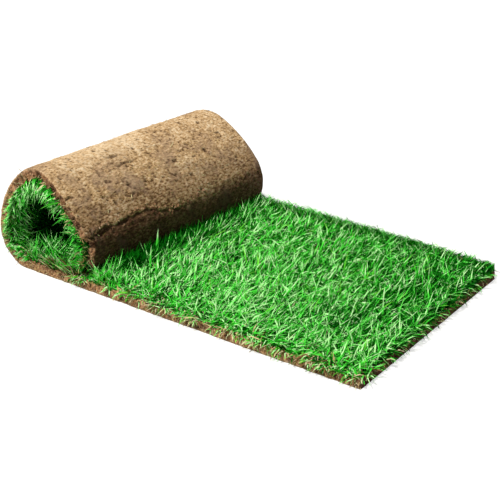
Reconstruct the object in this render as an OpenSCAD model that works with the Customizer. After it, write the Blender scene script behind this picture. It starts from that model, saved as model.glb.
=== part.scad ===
// Roll of turf: a strip of root-bound soil with its standing grass, lying partly unrolled.
// The strip lies flat, grass up, from its free end to the heel. There it leaves the floor and
// curls back over itself in one slumped turn, soil side out, until the cut end of its tail
// stands on the grass of the flat run.
// The section is a chain of tangent straights and bends along the root line, where soil and
// grass meet. Both layers follow that one line, so they stay joined whatever its shape.

/* [Strip] */
// Width of the strip, along the axis of the curl
strip_width = 400; // [300:10:620]
// Length of the flat run, from the free end to the heel
flat_run = 581; // [450:1:1500]
// Depth of the root-bound soil
soil_depth = 13; // [8:0.5:25]
// Height of the standing grass above the soil
grass_height = 18; // [12:1:45]

/* [Heel, where the strip leaves the floor] */
// Radius of the heel at the grass tips
heel_radius = 27; // [5:1:40]
// Angle that the heel turns through
heel_turn = 110; // [100:1:118]

/* [Back, the rising wall of the curl] */
// Radius of the back at the grass tips
back_radius = 154; // [80:1:260]
// Angle that the back turns through
back_turn = 28; // [20:1:34]

/* [Crown, the top of the curl] */
// Radius of the crown at the grass tips
crown_radius = 25; // [5:1:40]
// Angle that the crown turns through
crown_turn = 73; // [62:1:82]

/* [Front, the falling wall of the curl] */
// Radius of the front at the grass tips
front_radius = 219; // [120:1:260]
// Angle that the front turns through
front_turn = 21; // [14:1:26]

/* [Toe, where the curl turns back under] */
// Radius of the toe at the grass tips
toe_radius = 26; // [5:1:36]
// Angle that the toe turns through
toe_turn = 49; // [38:1:58]
// Gap between the cut end of the tail and the grass that it stands on
tail_gap = 0.3; // [0.1:0.1:2]

/* [Hidden] */

// Largest angle between neighbouring points of a bend
bend_step = 3;

// The bends in order from the floor, each [radius of the root line, angle turned]
bends = [
    [heel_radius + grass_height, heel_turn],
    [back_radius + grass_height, back_turn],
    [crown_radius + grass_height, crown_turn],
    [front_radius + grass_height, front_turn],
    [toe_radius + grass_height, toe_turn],
];
last = len(bends);

// Length of the whole part, from the free end to the furthest bulge of the heel
reach = flat_run + heel_radius + grass_height + soil_depth;

// Direction of the strip after its first n bends
function heading(n) = n == 0 ? 0 : heading(n - 1) + bends[n - 1][1];

// Where an arc of the root line is after turning from one direction to another
function arc_end(start, radius, from, to) =
    start + radius * [sin(to) - sin(from), cos(from) - cos(to)];

// Point on the root line after the first n bends: x runs from the free end, y is height
function root_point(n) =
    n == 0 ? [flat_run, soil_depth] :
    arc_end(root_point(n - 1), bends[n - 1][0], heading(n - 1), heading(n));

// The tail runs on from the toe until the lower corner of its cut end meets the standing grass
tail_slope = heading(last);
tail_corner = min(-soil_depth * cos(tail_slope), grass_height * cos(tail_slope));
tail_drop = root_point(last)[1] + tail_corner - soil_depth - grass_height - tail_gap;
tail_length = tail_drop / -sin(tail_slope);
tail_end = root_point(last) + tail_length * [cos(tail_slope), sin(tail_slope)];

// Stations along the whole root line, each [point, direction]
root_line = [
    [[0, soil_depth], 0],
    [root_point(0), 0],
    for (i = [0 : last - 1])
        let (steps = ceil(bends[i][1] / bend_step))
            for (k = [1 : steps])
                let (turned = heading(i) + bends[i][1] * k / steps)
                    [arc_end(root_point(i), bends[i][0], heading(i), turned), turned],
    [tail_end, tail_slope],
];

// The line that runs a given height over the root line, towards the grass tips
function line_at(height) =
    [for (s = root_line) s[0] + height * [-sin(s[1]), cos(s[1])]];

function reversed(points) = [for (i = [len(points) - 1 : -1 : 0]) points[i]];

// The layer of the strip between two heights over the root line, standing on its edge
module layer(low, high)
    linear_extrude(strip_width)
        polygon(concat(line_at(low), reversed(line_at(high))));

// Lays the strip down: width along Y, free end towards +X, centred over the origin
module laid_down()
    rotate([90, 0, 180])
        translate([-reach / 2, 0, -strip_width / 2])
            children();

// The soil, held together by roots and cut level underneath
module soil_mat()
    color("#8a6a49")
        laid_down()
            layer(-soil_depth, 0);

// The grass that stands on it, as the space that its blades fill
module grass_sward()
    color("#3f9a2f")
        laid_down()
            layer(0, grass_height);

soil_mat();
grass_sward();
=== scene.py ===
"""Roll of turf, dressed: root-bound soil under standing grass, lying partly unrolled.

The strip lies flat, grass up, from its free end to the heel. There it curls back over itself, soil
side out, until the cut end of its tail stands in the grass of the flat run. Everything is placed by
strip coordinates: along the strip from its free end, across it from its middle, and height over the
root line, where soil and grass meet. Lengths are in metres and angles in radians, unless a name says
otherwise.
"""
import itertools
import logging
import math
from dataclasses import dataclass, field
from enum import Enum, IntEnum

import bpy
import numpy as np
from mathutils import Matrix, Vector


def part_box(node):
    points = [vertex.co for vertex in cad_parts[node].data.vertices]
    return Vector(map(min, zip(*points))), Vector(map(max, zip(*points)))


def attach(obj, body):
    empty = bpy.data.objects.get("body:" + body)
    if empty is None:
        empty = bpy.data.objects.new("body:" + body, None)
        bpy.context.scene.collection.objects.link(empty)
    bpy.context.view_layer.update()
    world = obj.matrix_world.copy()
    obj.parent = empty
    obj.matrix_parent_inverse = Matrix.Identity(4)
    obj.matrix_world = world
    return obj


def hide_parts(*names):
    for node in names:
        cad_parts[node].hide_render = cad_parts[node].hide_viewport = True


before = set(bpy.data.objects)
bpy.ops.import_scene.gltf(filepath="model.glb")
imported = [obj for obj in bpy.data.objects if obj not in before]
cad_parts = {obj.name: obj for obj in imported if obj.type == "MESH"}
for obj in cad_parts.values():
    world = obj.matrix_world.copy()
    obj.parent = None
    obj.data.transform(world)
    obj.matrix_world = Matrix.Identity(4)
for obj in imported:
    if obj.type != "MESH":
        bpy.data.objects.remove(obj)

LOG = logging.getLogger("turf")
MM = 0.001

# The map that the blade print is drawn on, its blades in a row, and their distance from their cells' sides
BLADE_MAP = "OFBake"
PRINT_COLUMNS = 16
PRINT_INSET = 0.06

# Veins of the blade print, as turns of a wave over its breadth
VEIN_TURNS = 44.0

# The grain of earth: bumps to the metre, and how grains and fibres are drawn out across the strip
GRAIN_SCALE = 240.0
SPECK_SCALE = 380.0
FIBRE_SCALE = 420.0
GRAIN_SQUEEZE = 0.5
FIBRE_SQUEEZE = 0.16

# A blade's keel against its width, its roll at the foot against the tip's, and its least height
BLADE_KEEL = 0.2
FOOT_ROLL = 0.4
FLOOR_GAP = 0.2 * MM

Array = np.ndarray
Numbers = float | Array
Span = tuple[float, float]
Triple = tuple[float, float, float]
Part = tuple[slice, slice]
Colour = Triple
Stops = tuple[tuple[float, Colour], ...]
Tree = bpy.types.NodeTree
Node = bpy.types.Node
Socket = bpy.types.NodeSocket
Feed = bpy.types.NodeSocket | float | tuple[float, ...]
Piece = bpy.types.Object
Chance = np.random.Generator
Material = bpy.types.Material


class BladeKind(IntEnum):
    """How a blade has grown, or that it carries painted shade: its row of the blade print."""

    FRESH = 0
    GROWN = 1
    # The shaded kind is painted shade: dark blades inside the curl, by the toe and low in the sward
    SHADED = 2
    DRY = 3


class BladeForm(Enum):
    """Stations from a blade's foot to its tip, each with its share of the length and of the breadth."""

    STANDING = ((0.0, 0.72), (0.5, 1.0), (1.0, 0.0))
    HANGING = ((0.0, 0.72), (0.38, 1.0), (0.74, 0.7), (1.0, 0.0))


class Edge(Enum):
    """The cut edges, each with the way it faces: an angle from the strip's run towards the far side."""

    NEAR = -0.5 * math.pi
    FAR = 0.5 * math.pi
    FREE = math.pi
    TAIL = 0.0


def scrambled(lattice: Array, seed: int) -> Array:
    """Gives each whole lattice point a fixed number that looks random.

    Args:
        lattice: whole numbers, three to a point.
        seed: tells one set of numbers from another.

    Returns:
        One number from -1 to 1 for each point.
    """
    keys = np.array([73856093, 19349663, 83492791], dtype=np.uint64)
    mixed = (lattice.astype(np.uint64) * keys).sum(-1, dtype=np.uint64)
    mixed += np.uint64(seed * 2654435761 + 97)
    for factor in (0xFF51AFD7ED558CCD, 0xC4CEB9FE1A85EC53):
        mixed ^= mixed >> np.uint64(33)
        mixed *= np.uint64(factor)
    mixed ^= mixed >> np.uint64(33)
    return mixed.astype(np.float64) / 2.0**63 - 1.0


def swell(points: Array, cell: float, seed: int) -> Array:
    """Smooth random relief over space.

    Args:
        points: places, three numbers each, in any shape of array.
        cell: how far apart its bumps lie.
        seed: tells one relief from another.

    Returns:
        Heights from about -1 to 1, in the shape of the points.
    """
    grid = points / cell
    base = np.floor(grid)
    inside = grid - base
    fade = inside**3 * (inside * (inside * 6.0 - 15.0) + 10.0)
    total = np.zeros(points.shape[:-1])
    for corner in np.ndindex(2, 2, 2):
        lattice = (base + corner).astype(np.int64)
        slope = np.stack([scrambled(lattice, seed * 3 + axis) for axis in range(3)], -1)
        weight = np.where(np.array(corner) == 1, fade, 1.0 - fade).prod(-1)
        total += weight * (slope * (inside - corner)).sum(-1)
    return total * 1.6


class Relief(Enum):
    """Smooth random reliefs, each with its seed and how far apart its bumps lie."""

    ROUGH_SKIN = (31, 3.5 * MM)
    CRACK_LINE = (41, 12.0 * MM)
    TOE_LINE = (52, 9.0 * MM)
    TOE_JITTER = (53, 4.5 * MM)
    SHADE_EDGE = (54, 11.0 * MM)
    TOE_GAPE = (55, 22.0 * MM)
    THATCH = (61, 18.0 * MM)
    WORN_LUMPS = (71, 14.0 * MM)
    WORN_DRIFT = (73, 60.0 * MM)
    CREVICES = (74, 9.0 * MM)
    FINE_CREVICES = (75, 4.5 * MM)
    RIM_DARK = (76, 16.0 * MM)
    GROWTH = (81, 60.0 * MM)
    WITHERED = (82, 17.0 * MM)
    CLUMPS = (83, 42.0 * MM)
    LEAN = (91, 110.0 * MM)

    def over(self, points: Array) -> Array:
        """The relief's heights at places in space, from about -1 to 1."""
        seed, cell = self.value
        return swell(points, cell, seed)


def flat_points(along: Numbers, across: Numbers) -> Array:
    """Places on the strip laid out flat, as points in space."""
    return np.stack(np.broadcast_arrays(along, across, 0.0), -1)


def ease(value: Array) -> Array:
    """A smooth step from 0 to 1 as value goes from 0 to 1."""
    held = np.clip(value, 0.0, 1.0)
    return held * held * (3.0 - 2.0 * held)


@dataclass(frozen=True)
class Ramp:
    """A smooth step from 0 at its start to 1 where it is full, which may lie on either side."""

    start: float
    full: float

    def at(self, value: Array) -> Array:
        """The height of the step at a value."""
        return ease((value - self.start) / (self.full - self.start))


@dataclass(frozen=True)
class Bend:
    """One bend of the curl's root line, which the slump left a little different at its two ends.

    Radii are in metres and turns in degrees.
    """

    near_radius: float
    near_turn: float
    far_radius: float
    far_turn: float

    def at(self, share: Array) -> tuple[Array, Array]:
        """Its radius, and its turn in radians, at a share of the way from the near to the far end."""
        radius = self.near_radius + (self.far_radius - self.near_radius) * share
        turn = self.near_turn + (self.far_turn - self.near_turn) * share
        return radius, np.radians(turn)


HEEL = Bend(40.8 * MM, 96.5, 45.0 * MM, 107.1)
BACK = Bend(123.0 * MM, 50.0, 153.6 * MM, 28.7)
CROWN = Bend(33.6 * MM, 68.7, 54.2 * MM, 69.4)
FRONT = Bend(235.8 * MM, 21.0, 201.4 * MM, 25.9)
TOE = Bend(40.2 * MM, 44.0, 51.0 * MM, 51.4)


@dataclass(frozen=True)
class StripLine:
    """The root line of the strip, and the way from strip coordinates to places in the frame."""

    free_end: float
    width: float
    soil_depth: float
    flat_run: float
    tail_foot: float = 34.0 * MM
    bends: tuple[Bend, ...] = (HEEL, BACK, CROWN, FRONT, TOE)

    @classmethod
    def from_frame(cls) -> "StripLine":
        """Reads the strip's sizes from the boxes of the soil and the grass."""
        soil_low, soil_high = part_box("soil_mat")
        grass_low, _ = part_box("grass_sward")
        depth = grass_low[2] - soil_low[2]
        heel = HEEL.far_radius + depth
        return cls(
            free_end=soil_high[0],
            width=soil_high[1] - soil_low[1],
            soil_depth=depth,
            flat_run=soil_high[0] - soil_low[0] - heel,
        )

    @property
    def length(self) -> float:
        """Length of the root line half-way across, from the free end to the tail's cut end."""
        return self.flat_run + float(self.curl_length(np.array(0.5)))

    def walk(self, run: Array, share: Array) -> tuple[Array, Array, Array]:
        """Follows the root line round the curl.

        Args:
            run: distance past the start of the heel, below 0 on the flat.
            share: how far from the near end to the far end, from 0 to 1.

        Returns:
            The distance from the heel's start, the height over the floor and the heading.
        """
        reach = np.minimum(run, 0.0)
        height = np.full_like(reach, self.soil_depth)
        heading = np.zeros_like(reach)
        left = np.maximum(run, 0.0)
        for bend in self.bends:
            radius, turn = bend.at(share)
            ahead = heading + np.clip(left / radius, 0.0, turn)
            reach = reach + radius * (np.sin(ahead) - np.sin(heading))
            height = height + radius * (np.cos(heading) - np.cos(ahead))
            heading = ahead
            left = np.maximum(left - radius * turn, 0.0)
        return reach + left * np.cos(heading), height + left * np.sin(heading), heading

    def curl_length(self, share: Array) -> Array:
        """Length of the root line from the heel's start until the tail reaches its foot."""
        arcs = sum(radius * turn for radius, turn in (bend.at(share) for bend in self.bends))
        height, heading = self.walk(arcs + 0.0 * share, share)[1:]
        return arcs + (height - self.tail_foot) / -np.sin(heading)

    def stand(self, along: Array, across: Array) -> tuple[Array, Array, Array]:
        """Finds spots on the root line.

        Args:
            along: distances from the free end, measured half-way across.
            across: distances from the middle, towards the far side.

        Returns:
            The spots, the way the strip runs there and the way the grass grows there.
        """
        share = across / self.width + 0.5
        past = along - self.flat_run
        stretch = self.curl_length(share) / self.curl_length(np.array(0.5))
        reach, height, heading = self.walk(np.where(past > 0.0, past * stretch, past), share)
        level = np.zeros_like(heading)
        spots = np.stack([self.free_end - self.flat_run - reach, across + level, height], -1)
        runs = np.stack([-np.cos(heading), level, np.sin(heading)], -1)
        grows = np.stack([np.sin(heading), level, np.cos(heading)], -1)
        return spots, runs, grows


def new_mesh_piece(name: str, points: Array, faces: list[Array]) -> Piece:
    """Makes a mesh object from arrays and puts it in the scene.

    Args:
        name: the piece's name.
        points: its vertices.
        faces: blocks of faces, each an array with as many columns as its faces have corners.

    Returns:
        The object.
    """
    mesh = bpy.data.meshes.new(name)
    rows = [row for block in faces for row in block.tolist()]
    mesh.from_pydata(points.tolist(), [], rows)
    mesh.update()
    piece = bpy.data.objects.new(name, mesh)
    bpy.context.scene.collection.objects.link(piece)
    return piece


def settle(piece: Piece, node: str, slot: str, *finishes: Material) -> None:
    """Gives a piece its finishes, and lets it stand for a CAD node and ride with the part.

    Args:
        piece: the piece.
        node: the CAD node that it stands for.
        slot: a material slot's name, which is not used.
        *finishes: its materials, in the order of its faces' numbers.
    """
    for finish in finishes:
        piece.data.materials.append(finish)
    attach(piece, "root")
    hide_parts(node)
    LOG.info("%s: %d faces", piece.name, len(piece.data.polygons))


def add_node(
    tree: Tree, kind: str, inputs: dict[int | str, Feed] | None = None, **settings: object
) -> Node:
    """Adds a node to a tree.

    Args:
        tree: the tree.
        kind: the node's type.
        inputs: for some of its inputs, the value, or the socket that feeds it.
        **settings: values of the node's own properties.

    Returns:
        The node.
    """
    node = tree.nodes.new(kind)
    for name, value in settings.items():
        setattr(node, name, value)
    for key, value in (inputs or {}).items():
        if isinstance(value, Socket):
            tree.links.new(value, node.inputs[key])
        else:
            node.inputs[key].default_value = value
    return node


def sum_up(tree: Tree, operation: str, *values: Feed) -> Socket:
    """Adds a Math node and gives its output, with values or sockets as its inputs."""
    return add_node(tree, "ShaderNodeMath", dict(enumerate(values)), operation=operation).outputs[0]


def colour_ramp(tree: Tree, factor: Socket, stops: Stops) -> Socket:
    """Turns a value into a colour.

    Args:
        tree: the tree to add to.
        factor: the value, from 0 to 1.
        stops: places from 0 to 1 in rising order, each with its colour.

    Returns:
        The colour's socket.
    """
    node = add_node(tree, "ShaderNodeValToRGB", {0: factor})
    marks = node.color_ramp.elements
    while len(marks) < len(stops):
        marks.new(1.0)
    for mark, (place, colour) in zip(marks, stops):
        mark.position = place
        mark.color = (*colour, 1.0)
    return node.outputs[0]


def mask_ramp(tree: Tree, value: Socket, low: float, high: float) -> Socket:
    """A mask that rises smoothly from 0 to 1 as a value goes from low to high."""
    inputs = {"Value": value, "From Min": low, "From Max": high}
    return add_node(tree, "ShaderNodeMapRange", inputs, interpolation_type="SMOOTHSTEP").outputs[0]


def mix_colours(tree: Tree, factor: Feed, first: Feed, second: Feed, blend: str = "MIX") -> Socket:
    """Mixes two colours.

    Args:
        tree: the tree to add to.
        factor: the share of the second.
        first: a colour or its socket.
        second: a colour or its socket.
        blend: how they are mixed.

    Returns:
        The mixed colour's socket.
    """
    full = [(*c, 1.0) if isinstance(c, tuple) else c for c in (first, second)]
    inputs = {0: factor, 6: full[0], 7: full[1]}
    node = add_node(tree, "ShaderNodeMix", inputs, data_type="RGBA", blend_type=blend)
    return node.outputs[2]


def texture_noise(tree: Tree, vector: Socket, scale: Feed, detail: float) -> Socket:
    """Adds a noise texture and gives its value."""
    inputs = {"Vector": vector, "Scale": scale, "Detail": detail, "Roughness": 0.6}
    return add_node(tree, "ShaderNodeTexNoise", inputs).outputs["Fac"]


def new_group(name: str, inputs: dict[str, str], values: tuple[str, ...]) -> Tree:
    """Makes an empty shader node group.

    Args:
        name: the group's name.
        inputs: the name of each input, with its socket type.
        values: the names of its outputs, which are numbers.

    Returns:
        The group's tree, with its input and output nodes in place.
    """
    tree = bpy.data.node_groups.new(name, "ShaderNodeTree")
    for label, kind in inputs.items():
        tree.interface.new_socket(name=label, in_out="INPUT", socket_type=kind)
    for label in values:
        tree.interface.new_socket(name=label, in_out="OUTPUT", socket_type="NodeSocketFloat")
    tree.nodes.new("NodeGroupInput")
    tree.nodes.new("NodeGroupOutput")
    return tree


def put_out(tree: Tree, found: dict[str, Socket]) -> Tree:
    """Links what a group has found to its outputs, and gives the group."""
    for label, socket in found.items():
        tree.links.new(socket, tree.nodes["Group Output"].inputs[label])
    return tree


def earth_group() -> Tree:
    """The grain of earth: its patches, its grains and the fine fibres that run through it.

    Returns:
        The group, made once. It takes a place in metres and the size of its patches.
    """
    name = "earth_grain"
    if name in bpy.data.node_groups:
        return bpy.data.node_groups[name]
    inputs = {"Place": "NodeSocketVector", "Patch scale": "NodeSocketFloat"}
    tree = new_group(name, inputs, ("Patch", "Grain", "Speck", "Fibre"))
    given = tree.nodes["Group Input"].outputs
    place = given["Place"]
    broad, drawn_out = (
        add_node(tree, "ShaderNodeMapping", {"Vector": place, "Scale": (1.0, squeeze, 1.0)}).outputs[0]
        for squeeze in (GRAIN_SQUEEZE, FIBRE_SQUEEZE)
    )
    found = {
        "Patch": texture_noise(tree, place, given["Patch scale"], detail=4.0),
        "Grain": texture_noise(tree, broad, GRAIN_SCALE, detail=4.0),
        "Speck": texture_noise(tree, broad, SPECK_SCALE, detail=2.0),
        "Fibre": texture_noise(tree, drawn_out, FIBRE_SCALE, detail=3.0),
    }
    return put_out(tree, found)


def blade_group() -> Tree:
    """The blade print: where on its blade a spot lies, and which blade of the print it is.

    Returns:
        The group, made once. It takes a place on the blade map.
    """
    name = "blade_print"
    if name in bpy.data.node_groups:
        return bpy.data.node_groups[name]
    tree = new_group(name, {"Map": "NodeSocketVector"}, ("Across", "Along", "Kind", "Shade", "Vein"))
    inputs = {0: tree.nodes["Group Input"].outputs["Map"], 1: (PRINT_COLUMNS, len(BladeKind), 1.0)}
    spread = add_node(tree, "ShaderNodeVectorMath", inputs, operation="MULTIPLY").outputs[0]
    cell = add_node(tree, "ShaderNodeVectorMath", {0: spread}, operation="FLOOR").outputs[0]
    cell = add_node(tree, "ShaderNodeSeparateXYZ", {0: cell}).outputs
    inside = add_node(tree, "ShaderNodeVectorMath", {0: spread}, operation="FRACTION").outputs[0]
    inside = add_node(tree, "ShaderNodeSeparateXYZ", {0: inside}).outputs
    found = {
        "Across": sum_up(tree, "ABSOLUTE", sum_up(tree, "SUBTRACT", inside["X"], 0.5)),
        "Along": inside["Y"],
        "Kind": cell["Y"],
        "Shade": sum_up(tree, "DIVIDE", cell["X"], PRINT_COLUMNS - 1.0),
        "Vein": sum_up(tree, "SINE", sum_up(tree, "MULTIPLY", inside["X"], VEIN_TURNS)),
    }
    return put_out(tree, found)


def add_blade_print(tree: Tree) -> bpy.types.NodeOutputs:
    """Adds the blade print to a material's tree and gives its outputs."""
    place = add_node(tree, "ShaderNodeUVMap", uv_map=BLADE_MAP).outputs[0]
    return add_node(tree, "ShaderNodeGroup", {"Map": place}, node_tree=blade_group()).outputs


def new_material(name: str) -> tuple[Material, Tree, Node]:
    """Makes a material with one Principled shader, and gives its tree and that shader."""
    material = bpy.data.materials.new(name)
    material.use_nodes = True
    return material, material.node_tree, material.node_tree.nodes["Principled BSDF"]


def coat(tree: Tree, shader: Node, colour: Socket, roughness: float, sheen: float) -> None:
    """Gives a shader its colour, its roughness and its sheen."""
    tree.links.new(colour, shader.inputs["Base Color"])
    shader.inputs["Roughness"].default_value = roughness
    shader.inputs["Specular IOR Level"].default_value = sheen


@dataclass(frozen=True)
class SoilFinish:
    """Dry, root-bound soil: sandy grains over brown, with greyer smears and dark specks, partly humus and
    partly painted shade.

    The weights are those of patches, grains and specks in the tone. A span says where in its noise a
    colour starts and where it is full. The grain lies in space, or on a map if one is named.
    """

    name: str = "soil_finish"
    tones: Stops = (
        (0.10, (0.160, 0.082, 0.030)),
        (0.36, (0.470, 0.290, 0.134)),
        (0.56, (0.710, 0.475, 0.248)),
        (0.84, (0.950, 0.745, 0.490)),
    )
    weights: Triple = (1.0, 1.0, 1.4)
    middle: float = 0.5
    # Painted light on the lit crown: how much it lifts the tone, and how much it evens out the grain
    light_lift: float = 0.22
    even_out: float = 0.35
    smear: Colour = (0.500, 0.350, 0.235)
    smear_span: Span = (0.50, 0.36)
    smear_share: float = 0.5
    straw: Colour = (0.720, 0.530, 0.270)
    straw_span: Span = (0.74, 0.84)
    # Dark soil: of the humus specks, and of the painted shade in hollows
    humus_and_shade: Colour = (0.070, 0.036, 0.016)
    humus_and_shade_span: Span = (0.35, 0.30)
    # Painted shade, with some dampness: the colour that darkens the toe, the low front and the free end
    damp: Colour = (0.235, 0.190, 0.205)
    raw: Colour = (0.800, 0.650, 0.590)
    patch_scale: float = 15.0
    map_name: str = ""
    map_size: float = 1.0
    grain_height: float = 0.5 * MM
    grain_strength: float = 0.9
    speck_height: float = 0.5
    roughness: float = 0.95
    sheen: float = 0.1

    def place(self, tree: Tree) -> Socket:
        """The place that the grain is drawn by."""
        if not self.map_name:
            return add_node(tree, "ShaderNodeTexCoord").outputs["Object"]
        spread = add_node(tree, "ShaderNodeUVMap", uv_map=self.map_name).outputs[0]
        inputs = {0: spread, "Scale": self.map_size}
        return add_node(tree, "ShaderNodeVectorMath", inputs, operation="SCALE").outputs[0]

    def material(self) -> Material:
        """Builds the soil's material.

        Returns:
            A material that reads the mesh's own attributes: painted shade in hollows, painted shade with
            some dampness, the raw cut, and painted light and shade.
        """
        material, tree, shader = new_material(self.name)
        earth = add_node(tree, "ShaderNodeGroup", node_tree=earth_group())
        tree.links.new(self.place(tree), earth.inputs["Place"])
        earth.inputs["Patch scale"].default_value = self.patch_scale
        patch, grain, speck, fibre = (earth.outputs[n] for n in ("Patch", "Grain", "Speck", "Fibre"))
        hollow, damp, raw, sunned = (
            add_node(tree, "ShaderNodeAttribute", attribute_name=n).outputs["Fac"]
            for n in ("hollow", "damp", "raw", "sunned")
        )
        # Every noise keeps about the middle value, and so does their weighted sum
        tone = self.middle * (1.0 - sum(self.weights))
        for weight, noise in zip(self.weights, (patch, grain, speck)):
            tone = sum_up(tree, "MULTIPLY_ADD", noise, weight, tone)
        # Painted light and shade: the lit crown lighter and more even, the near front and the hem over the
        # toe crack browner
        spread = sum_up(tree, "MULTIPLY_ADD", sunned, -self.even_out, 1.0)
        off_middle = sum_up(tree, "SUBTRACT", tone, self.middle)
        tone = sum_up(tree, "MULTIPLY_ADD", off_middle, spread, self.middle)
        tone = sum_up(tree, "MULTIPLY_ADD", sunned, self.light_lift, tone)
        colour = colour_ramp(tree, tone, self.tones)
        smeared = sum_up(tree, "MULTIPLY", mask_ramp(tree, patch, *self.smear_span), self.smear_share)
        smeared = sum_up(tree, "MULTIPLY", smeared, sum_up(tree, "SUBTRACT", 1.0, sunned))
        colour = mix_colours(tree, smeared, colour, self.smear)
        colour = mix_colours(tree, mask_ramp(tree, fibre, *self.straw_span), colour, self.straw)
        # Dark specks: partly humus, partly painted shade of tiny crumbs
        colour = mix_colours(tree, mask_ramp(tree, speck, *self.humus_and_shade_span), colour, self.humus_and_shade)
        colour = mix_colours(tree, raw, colour, self.raw, "MULTIPLY")
        # Painted shade, with some dampness: under the toe, low on the front and on the free end's face; the
        # near rim is darker too
        colour = mix_colours(tree, damp, colour, self.damp, "MULTIPLY")
        # Painted shade in pits, cracks and the rim's crevices
        colour = mix_colours(tree, hollow, colour, self.humus_and_shade)
        coat(tree, shader, colour, self.roughness, self.sheen)
        height = sum_up(tree, "ADD", sum_up(tree, "MULTIPLY", speck, self.speck_height), grain)
        grained = {"Height": height, "Distance": self.grain_height, "Strength": self.grain_strength}
        bump = add_node(tree, "ShaderNodeBump", grained)
        tree.links.new(bump.outputs[0], shader.inputs["Normal"])
        return material


# Crumbs from inside the mat are redder than its skin
CRUMB_FINISH = SoilFinish(
    name="crumb_finish",
    tones=(
        (0.06, (0.150, 0.065, 0.028)),
        (0.38, (0.400, 0.215, 0.105)),
        (0.58, (0.590, 0.350, 0.190)),
        (0.92, (0.830, 0.620, 0.400)),
    ),
    map_name=BLADE_MAP,
    map_size=0.3,
)


@dataclass(frozen=True)
class LeafFinish:
    """Living grass: green blades with painted shade at the foot, a lighter midrib, fine veins and painted
    pale glints.

    A span says where in a blade's shade, or across it, an effect starts and where it is full. The shade
    also tells where on the blade its glint lies, in the range that begins at glint_from.
    """

    name: str = "leaf_finish"
    # Colours from foot to tip. The near-black foot is painted shade low in the sward, and the darkest kind
    # is painted shade.
    fresh: Stops = ((0.0, (0.002, 0.04, 0.001)), (0.5, (0.062, 0.72, 0.042)), (1.0, (0.18, 0.97, 0.13)))
    grown: Stops = ((0.0, (0.001, 0.02, 0.001)), (0.5, (0.016, 0.47, 0.018)), (1.0, (0.075, 0.84, 0.065)))
    shade_green: Stops = ((0.0, (0.001, 0.01, 0.001)), (0.4, (0.001, 0.052, 0.002)), (1.0, (0.004, 0.175, 0.005)))
    rib: Colour = (1.35, 1.25, 1.35)
    vein: Colour = (1.10, 1.15, 1.10)
    # Painted highlight: the colour of the pale glints
    pale: Colour = (0.55, 0.97, 0.43)
    dim: Colour = (0.09, 0.25, 0.08)
    yellow: Colour = (2.00, 1.00, 0.90)
    rib_span: Span = (0.10, 0.02)
    vein_span: Span = (0.2, 1.0)
    pale_span: Span = (0.46, 0.86)
    dim_span: Span = (0.45, 0.16)
    yellow_span: Span = (0.12, 0.0)
    glint_span: Span = (0.24, 0.09)
    glint_turns: float = 6.1
    glint_from: float = 0.5
    glint_range: float = 0.4
    roughness: float = 0.55
    sheen: float = 0.02

    def material(self) -> Material:
        """Builds the material of the living blades from the blade print."""
        material, tree, shader = new_material(self.name)
        print_ = add_blade_print(tree)
        fresh, grown, shade_green = (
            colour_ramp(tree, print_["Along"], stops) for stops in (self.fresh, self.grown, self.shade_green)
        )
        is_grown, is_shade_green = (
            sum_up(tree, "COMPARE", print_["Kind"], float(kind), 0.5)
            for kind in (BladeKind.GROWN, BladeKind.SHADED)
        )
        colour = mix_colours(tree, is_grown, fresh, grown)
        yellowed = mask_ramp(tree, print_["Shade"], *self.yellow_span)
        colour = mix_colours(tree, yellowed, colour, self.yellow, "MULTIPLY")
        # Darker blades, mostly at random but more often short ones low in the sward: partly painted shade
        dimmed = sum_up(tree, "SUBTRACT", mask_ramp(tree, print_["Shade"], *self.dim_span), yellowed)
        colour = mix_colours(tree, dimmed, colour, self.dim, "MULTIPLY")
        # Painted highlight: a pale glint part of the way up the blades of the paler columns
        place = sum_up(tree, "FRACT", sum_up(tree, "MULTIPLY", print_["Shade"], self.glint_turns))
        place = sum_up(tree, "MULTIPLY_ADD", place, self.glint_range, self.glint_from)
        away = sum_up(tree, "ABSOLUTE", sum_up(tree, "SUBTRACT", print_["Along"], place))
        glint = mask_ramp(tree, away, *self.glint_span)
        paler = sum_up(tree, "MULTIPLY", mask_ramp(tree, print_["Shade"], *self.pale_span), glint)
        colour = mix_colours(tree, paler, colour, self.pale)
        # Blades of the darkest kind are painted shade
        colour = mix_colours(tree, is_shade_green, colour, shade_green)
        rib = mask_ramp(tree, print_["Across"], *self.rib_span)
        colour = mix_colours(tree, rib, colour, self.rib, "MULTIPLY")
        veins = mask_ramp(tree, print_["Vein"], *self.vein_span)
        colour = mix_colours(tree, veins, colour, self.vein, "MULTIPLY")
        coat(tree, shader, colour, self.roughness, self.sheen)
        return material


@dataclass(frozen=True)
class DryFinish:
    """Dead grass and root fibre: straw, ochre and brown."""

    name: str = "dry_finish"
    root: Stops = ((0.0, (0.30, 0.17, 0.06)), (0.5, (0.58, 0.42, 0.17)), (1.0, (0.74, 0.66, 0.34)))
    tip: Stops = ((0.0, (0.24, 0.11, 0.04)), (0.5, (0.70, 0.58, 0.26)), (1.0, (0.84, 0.82, 0.56)))
    roughness: float = 0.6
    sheen: float = 0.15

    def material(self) -> Material:
        """Builds the material of dead blades and fibres from the blade print."""
        material, tree, shader = new_material(self.name)
        print_ = add_blade_print(tree)
        low = colour_ramp(tree, print_["Shade"], self.root)
        high = colour_ramp(tree, print_["Shade"], self.tip)
        colour = mix_colours(tree, print_["Along"], low, high)
        coat(tree, shader, colour, self.roughness, self.sheen)
        return material


def mark_points(piece: Piece, marks: dict[str, Array]) -> None:
    """Stores one number for each vertex under each name, for the finish to read."""
    for name, values in marks.items():
        layer = piece.data.attributes.new(name, "FLOAT", "POINT")
        layer.data.foreach_set("value", values.astype(np.float32))


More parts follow.
